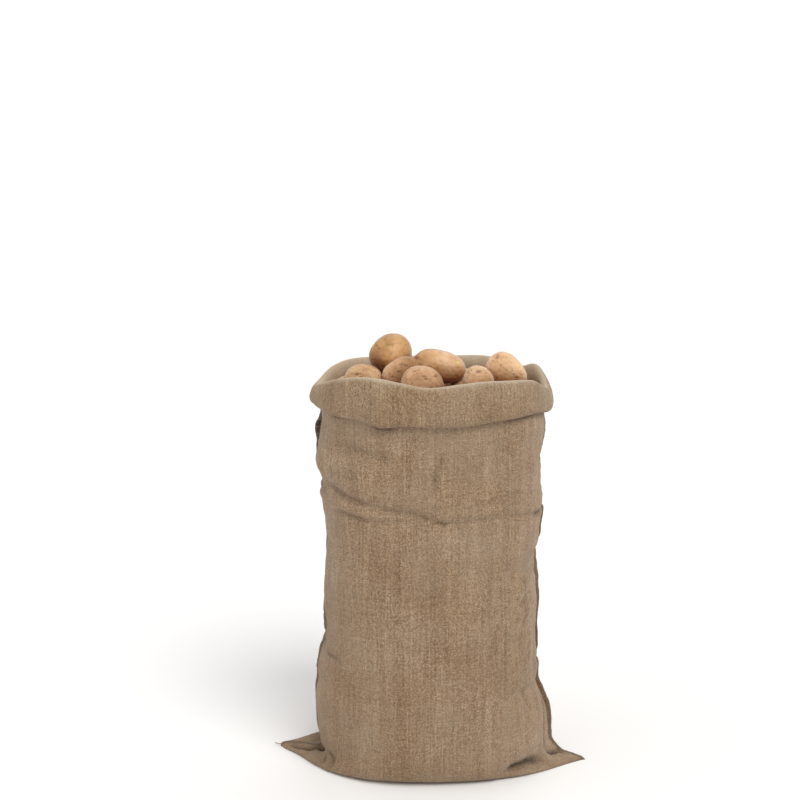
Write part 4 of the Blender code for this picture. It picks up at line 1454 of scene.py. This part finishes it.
@dataclass
class SeamSewing:
    """Overhand stitches of jute twine along the fin of each side seam."""

    cloth: HessianCloth
    spacing: float = 0.0135
    slant: float = 0.45
    # The stitches start at this place along the fin and end at this height
    ends: tuple[float, float] = (0.020, 0.640)
    stitch_points: int = 9
    twine_radius: float = 0.00048
    twine_sides: int = 6
    clearance: float = 0.0004
    tail_radius: float = 0.00096
    tail: tuple[tuple[float, float, float], ...] = (
        (-0.2700, 0.0265, 0.0040),
        (-0.2750, 0.0275, 0.0052),
        (-0.2800, 0.0270, 0.0046),
        (-0.2850, 0.0285, 0.0052),
        (-0.2895, 0.0300, 0.0066),
    )
    finish: TwineFinish = field(default_factory=TwineFinish)

    def build(self) -> list[bpy.types.Object]:
        """Sews both seams, and leaves the left one's end loose at its ear.

        Returns:
            The two rows of stitches.
        """
        material = self.finish.build()
        fin = self.cloth.fin
        left = fin + self.cloth.columns_a_side
        made = []
        for name, first in (("right_seam_twine", 0), ("left_seam_twine", left)):
            mesh = bmesh.new()
            rings = self.cloth.outer[self.cloth.base_rings :, first : first + fin]
            length = length_along(rings, 0)[:, fin // 2]
            place, top = self.ends
            stop = length[np.argmax(rings[:, fin // 2, 2] > top)]
            while place < stop:
                self.add_stitch(mesh, rings, length, place)
                place += self.spacing
            if first == left:
                tail = [Vector(point) for point in self.tail]
                add_tube(mesh, tail, self.tail_radius, self.twine_sides)
            twine = link_object(name, mesh, material)
            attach(twine, BODY)
            made.append(twine)
        return made

    def add_stitch(
        self, mesh: bmesh.types.BMesh, rings: np.ndarray, length: np.ndarray, place: float
    ) -> None:
        """Adds one slanting stitch over the fin's edge.

        Args:
            mesh: The mesh under work.
            rings: The fin's columns of points.
            length: Length along the fin at each ring.
            place: Where along the fin the stitch starts.
        """
        path = []
        count = rings.shape[1]
        flat = rings.reshape(len(rings), -1)
        for share in np.linspace(0.0, 1.0, self.stitch_points):
            at = place + share * self.spacing * self.slant
            columns = np.array([np.interp(at, length, run) for run in flat.T]).reshape(count, 3)
            across = share * (count - 1)
            spot = np.array([np.interp(across, range(count), run) for run in columns.T])
            away = spot - (columns[0] + columns[-1]) / 2
            path.append(spot + away / max(np.linalg.norm(away), 1e-6) * self.clearance)
        stitch = [Vector(point) for point in path]
        add_tube(mesh, stitch, self.twine_radius, self.twine_sides)


@dataclass
class LooseFibres:
    """Short jute fibres that stand up out of the cloth and its seams."""

    cloth: HessianCloth
    count: int = 420
    # Rings without fibres at the foot and at the hem
    bare_rings: tuple[int, int] = (6, 12)
    radius: float = 0.00013
    reach: tuple[float, float] = (0.003, 0.009)
    lift: tuple[float, float] = (0.15, 0.6)
    sway: float = 0.6
    seam_top: float = 0.65
    clear_of_floor: float = 0.002
    finish: TwineFinish = field(
        default_factory=lambda: TwineFinish("jute_fibre", "#cdb690", "#a58a64")
    )

    def build(self) -> bpy.types.Object:
        """Scatters the fibres over the outer skin.

        Returns:
            All the fibres as one object.
        """
        mesh = bmesh.new()
        picker = random.Random(19)
        skin = self.cloth.outer[self.cloth.base_rings :]
        normals = self.cloth.normals(skin)
        low, high = self.bare_rings
        fin = self.cloth.fin
        seams = [fin // 2, fin + self.cloth.columns_a_side + fin // 2]
        for number in range(self.count):
            row = picker.randrange(low, len(skin) - high)
            on_seam = number % 3 == 0 and skin[row, 0, 2] < self.seam_top
            column = picker.choice(seams) if on_seam else picker.randrange(skin.shape[1])
            start = Vector(skin[row, column])
            normal = Vector(normals[row, column])
            side = Vector([picker.uniform(-1, 1) for _ in range(3)])
            length = picker.uniform(*self.reach)
            lift = picker.uniform(*self.lift)
            path = []
            for share in (0.0, 0.35, 0.7, 1.0):
                bent = normal * (lift * share * (2 - share)) + side * (share * self.sway)
                path.append(start + bent * length)
            if min(point.z for point in path) > self.clear_of_floor:
                add_tube(mesh, path, self.radius, 3)
        fibres = link_object("loose_fibres", mesh, self.finish.build())
        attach(fibres, BODY)
        return fibres


# -------------------------------------------------------------------- potatoes


class Mark(NamedTuple):
    """A mark on a potato: where it lies, how large it is and what it is.

    Azimuth and elevation are in degrees seen from the potato's middle, and
    azimuth -90 faces the front. An eye is `sunk`, and the bud on one is pale.
    """

    azimuth: float
    elevation: float
    size: float = 1.0
    sunk: float = 1.0
    dark: float = 0.8
    pale: float = 0.0


def stain(azimuth: float, elevation: float, size: float = 0.5, dark: float = 0.85) -> Mark:
    """A flat brown spot on a potato."""
    return Mark(azimuth, elevation, size, 0.1, dark)


class Spud(NamedTuple):
    """One potato's node, its skin and its marks."""

    node: str
    skin: SkinKind
    marks: tuple[Mark, ...]


LEFT_MARKS = (
    Mark(-118, 30, 0.8),
    Mark(-75, 54, 1.1, 0.6, 0.35),
    stain(-100, 24),
    Mark(60, 40),
    Mark(170, 0),
)
TOP_MARKS = (
    Mark(-101, 45, 1.3, 1.3, 0.45, 0.25),
    stain(-119, 62, 0.7, 0.4),
    stain(-144, 37, 0.9, 0.75),
    stain(-130, 30, 0.7, 0.65),
    stain(-131, 19, 0.6, 0.6),
    stain(-110, -14, 1.6, 0.35),
    Mark(-20, -10),
    Mark(100, 30),
)
SLANT_MARKS = (
    stain(-81, 51, 0.7, 0.8),
    stain(-56, 44, 0.7, 0.85),
    stain(-91, 22, 0.8, 0.8),
    stain(-129, 10, 0.5),
    stain(-117, 1, 0.5),
    Mark(120, 35),
)
LONG_MARKS = (
    Mark(-164, 22, 1.0, 0.8, 0.6),
    Mark(-30, 16, 0.9, 0.2, 0.0, 0.85),
    stain(-35, 2, 0.8, 0.3),
    Mark(70, 35),
    Mark(110, 0),
)
FRONT_MARKS = (
    Mark(-82, 45, 0.7, 1.0, 0.7),
    Mark(-76, 37, 0.6, 1.0, 0.7),
    Mark(-33, 39, 0.7, 0.8, 0.8),
    stain(-128, 58),
    stain(-138, 29, 0.4),
    Mark(150, 20),
)
SMALL_MARKS = (
    Mark(-93, 55, 1.2, 1.0, 0.75),
    Mark(-165, 42, 0.8, 0.6),
    stain(-51, 45, 0.4),
    Mark(120, 20),
)
PEAR_MARKS = (
    Mark(-142, 48, 1.2, 1.0, 0.45),
    stain(-56, -12, 0.8, 0.9),
    stain(-65, -1, 0.5),
    stain(-38, -6, 0.5),
    stain(-109, 26, 0.5, 0.4),
    stain(-90, 11, 0.5, 0.4),
    Mark(80, 40),
)
EYE_ON_TOP, EYE_IN_FRONT = (Mark(0, 70),), (Mark(-60, 60),)
SPUDS = (
    Spud("potato_left", SkinKind.DUSTY, LEFT_MARKS),
    Spud("potato_top", SkinKind.AMBER, TOP_MARKS),
    Spud("potato_slant", SkinKind.DULL, SLANT_MARKS),
    Spud("potato_long", SkinKind.GOLDEN, LONG_MARKS),
    Spud("potato_front", SkinKind.ROUGH, FRONT_MARKS),
    Spud("potato_small", SkinKind.FRECKLED, SMALL_MARKS),
    Spud("potato_pear", SkinKind.PALE, PEAR_MARKS),
    Spud("potato_back_left", SkinKind.DUSTY, (Mark(90, 50), Mark(-60, 40))),
    Spud("potato_back_a", SkinKind.GOLDEN, (Mark(70, 45), Mark(140, 60))),
    Spud("potato_back_b", SkinKind.FRECKLED, (Mark(60, 50), Mark(120, 35))),
    Spud("potato_back_c", SkinKind.DULL, (Mark(40, 60), Mark(100, 40))),
    Spud("potato_back_right", SkinKind.GOLDEN, (Mark(80, 50), Mark(-20, 60))),
    Spud("potato_under_top", SkinKind.DULL, EYE_ON_TOP),
    Spud("potato_centre", SkinKind.DULL, EYE_ON_TOP),
    Spud("potato_middle", SkinKind.DULL, EYE_ON_TOP),
    Spud("potato_low_front", SkinKind.DULL, EYE_IN_FRONT),
    Spud("potato_low_right", SkinKind.DULL, EYE_IN_FRONT),
    Spud("potato_corner", SkinKind.ROUGH, EYE_IN_FRONT),
)


@dataclass
class PotatoHeap:
    """The potatoes in the mouth of the sack, and the buried ones under them."""

    least_faces: int = 9000
    # Keeps the lumps of each potato unlike those of the next
    apart: tuple[float, float] = (3.1, 1.7)
    eye_width: float = 0.0042
    eye_end: float = 4.0
    eye_depth: float = 0.0024
    eye_shape: tuple[float, float, float] = (0.62, 0.8, 1.5)
    brow: float = 0.35
    brow_place: float = 1.7
    core: float = 0.72
    # Height and pitch of a potato's lumps and of its pimples
    lumps: tuple[tuple[float, float], ...] = ((0.0009, 0.024), (0.00022, 0.004))
    # Painted shade on the underside, and how low on a potato it starts and is full
    darkened: float = 0.8
    shade_line: tuple[float, float] = (-0.25, 0.40)
    shade_slope: float = 0.35
    # The filling shows above this height, and below it keeps off the cloth
    filling_top: float = 0.60
    filling_lumps: tuple[float, float] = (0.0008, 0.012)
    slack: float = 0.955

    def build(self) -> None:
        """Makes each potato and the buried filling."""
        skins = {kind: kind.value.build() for kind in SkinKind}
        for number, spud in enumerate(SPUDS):
            self.make_potato(spud, number, skins[spud.skin])
        self.make_filling(skins[SkinKind.ROUGH])

    def copied_mesh(self, node: str) -> bmesh.types.BMesh:
        """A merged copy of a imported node's mesh."""
        mesh = bmesh.new()
        mesh.from_mesh(bpy.data.objects[node].data)
        bmesh.ops.remove_doubles(mesh, verts=mesh.verts, dist=1e-5)
        return mesh

    def make_potato(
        self, spud: Spud, number: int, material: bpy.types.Material
    ) -> bpy.types.Object:
        """One potato with lumps, fine pimples, sunken eyes and stains.

        Args:
            spud: The potato's row.
            number: Its number, which sets its lumps.
            material: Its skin.

        Returns:
            The potato, riding on the sack's body.
        """
        mesh = self.copied_mesh(spud.node)
        while len(mesh.faces) < self.least_faces:
            bmesh.ops.subdivide_edges(
                mesh, edges=mesh.edges, cuts=1, smooth=1.0, use_grid_fill=True
            )
        eye, sprout, under = (
            mesh.verts.layers.float.new(name) for name in ("eye", "sprout", "under")
        )
        low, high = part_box(spud.node)
        middle = (low + high) / 2
        unshaded, darkened = self.shade_line
        mesh.normal_update()
        normals = [vert.normal.copy() for vert in mesh.verts]
        sites = [self.surface_point(mesh, middle, mark) for mark in spud.marks]
        shift = Vector((number * self.apart[0], number * self.apart[1], 0.0))
        for vert, normal in zip(mesh.verts, normals):
            rise = 0.0
            for height, pitch in self.lumps:
                rise += height * noise.noise(vert.co / pitch + shift)
            for mark, site in zip(spud.marks, sites):
                width = self.eye_width * mark.size
                away = vert.co - site
                across = math.hypot(*(part * share for part, share in zip(away, self.eye_shape)))
                if across > width * self.eye_end:
                    continue
                depth = self.eye_depth * mark.sunk * mark.size
                brow = math.exp(-(((across - width * self.brow_place) / width) ** 2))
                rise += -depth * math.exp(-((across / width) ** 2))
                rise += self.brow * depth * brow * (away.z > 0)
                core = math.exp(-((across / (width * self.core)) ** 2))
                vert[eye] = max(vert[eye], mark.dark * core)
                vert[sprout] = max(vert[sprout], mark.pale * core)
            # Painted shade, darker towards the bottom of the potato
            drop = (middle.z - vert.co.z) / (high.z - low.z) - self.shade_slope * normal.z
            vert[under] = self.darkened * max(0.0, min(1.0, (drop - unshaded) / (darkened - unshaded)))
            vert.co = vert.co + normal * rise
        potato = link_object(spud.node + "_skin", mesh, material)
        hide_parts(spud.node)
        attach(potato, BODY)
        return potato

    def surface_point(self, mesh: bmesh.types.BMesh, middle: Vector, mark: Mark) -> Vector:
        """The mesh's point in a mark's direction from its middle."""
        turn, climb = math.radians(mark.azimuth), math.radians(mark.elevation)
        level = math.cos(climb)
        direction = Vector((math.cos(turn) * level, math.sin(turn) * level, math.sin(climb)))
        best = max(mesh.verts, key=lambda vert: (vert.co - middle).normalized().dot(direction))
        return best.co.copy()

    def make_filling(self, material: bpy.types.Material) -> bpy.types.Object:
        """The buried potatoes: a finer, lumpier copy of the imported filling.

        Args:
            material: Their skin.

        Returns:
            The filling, riding on the sack's body.
        """
        mesh = self.copied_mesh("filling")
        top = [
            edge
            for edge in mesh.edges
            if min(vert.co.z for vert in edge.verts) > self.filling_top
        ]
        bmesh.ops.subdivide_edges(mesh, edges=top, cuts=3, smooth=1.0, use_grid_fill=True)
        under = mesh.verts.layers.float.new("under")
        height, pitch = self.filling_lumps
        for vert in mesh.verts:
            # The whole buried filling gets the underside's painted shade
            vert[under] = self.darkened
            if vert.co.z > self.filling_top:
                vert.co.z += height * noise.noise(vert.co / pitch) - height
            else:
                vert.co.x *= self.slack
                vert.co.y *= self.slack
        filling = link_object("buried_potatoes", mesh, material)
        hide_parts("filling")
        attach(filling, BODY)
        return filling


# ---------------------------------------------------------------------- studio


class Sun(NamedTuple):
    """A soft light: where it stands, how strong it is and how wide, in degrees."""

    name: str
    azimuth: float
    elevation: float
    strength: float
    spread: float


@dataclass
class Studio:
    """Pale floor, soft light and the camera."""

    floor_size: float = 400.0
    camera_place: tuple[float, float, float] = (0.0, -3.3, 1.5)
    camera_down: float = 13.946
    camera_turn: float = 0.902
    lens: float = 85.725
    world: str = "#ffffff"
    world_strength: float = 0.62
    # A broad key from the right, a weak fill from the left, and one behind
    suns: tuple[Sun, ...] = (
        Sun("key", 30.0, 52.0, 1.72, 32.0),
        Sun("fill", -65.0, 30.0, 0.32, 60.0),
        Sun("back", 160.0, 40.0, 0.45, 50.0),
    )

    def build(self) -> None:
        """Sets up the floor, the lights and the camera."""
        self.build_floor()
        self.build_lights()
        self.build_camera()
        bpy.context.scene.view_settings.view_transform = "Standard"
        log.info("studio ready")

    def build_floor(self) -> None:
        """Lays the floor under the sack."""
        mesh = bmesh.new()
        bmesh.ops.create_grid(mesh, x_segments=1, y_segments=1, size=self.floor_size / 2)
        floor = link_object("studio_floor", mesh, FloorFinish().build())

    def build_lights(self) -> None:
        """Sets the even light all round and the suns."""
        scene = bpy.context.scene
        scene.world = bpy.data.worlds.new("studio_light")
        scene.world.use_nodes = True
        sky = scene.world.node_tree.nodes["Background"]
        sky.inputs[0].default_value = linear(self.world)
        sky.inputs[1].default_value = self.world_strength
        for sun in self.suns:
            data = bpy.data.lights.new(sun.name, "SUN")
            data.energy = sun.strength
            data.angle = math.radians(sun.spread)
            light = bpy.data.objects.new(sun.name, data)
            turn, climb = math.radians(sun.azimuth), math.radians(sun.elevation)
            level = math.cos(climb)
            towards = Vector((math.sin(turn) * level, -math.cos(turn) * level, math.sin(climb)))
            light.rotation_euler = towards.to_track_quat("Z", "Y").to_euler()
            light.location = towards * 3
            scene.collection.objects.link(light)

    def build_camera(self) -> None:
        """Stands the camera in front of the sack, a little above it."""
        data = bpy.data.cameras.new("camera")
        data.lens = self.lens
        camera = bpy.data.objects.new("camera", data)
        camera.location = self.camera_place
        down, turn = math.radians(90 - self.camera_down), math.radians(self.camera_turn)
        camera.rotation_euler = (down, 0, turn)
        bpy.context.scene.collection.objects.link(camera)
        bpy.context.scene.camera = camera


def main() -> None:
    """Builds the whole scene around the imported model."""
    logging.basicConfig(level=logging.INFO, format="%(name)s: %(message)s")
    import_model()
    Studio().build()
    cloth = HessianCloth()
    sheet = cloth.build()
    sewing = SeamSewing(cloth).build()
    fibres = LooseFibres(cloth).build()
    PotatoHeap().build()


if __name__ == "__main__":
    main()
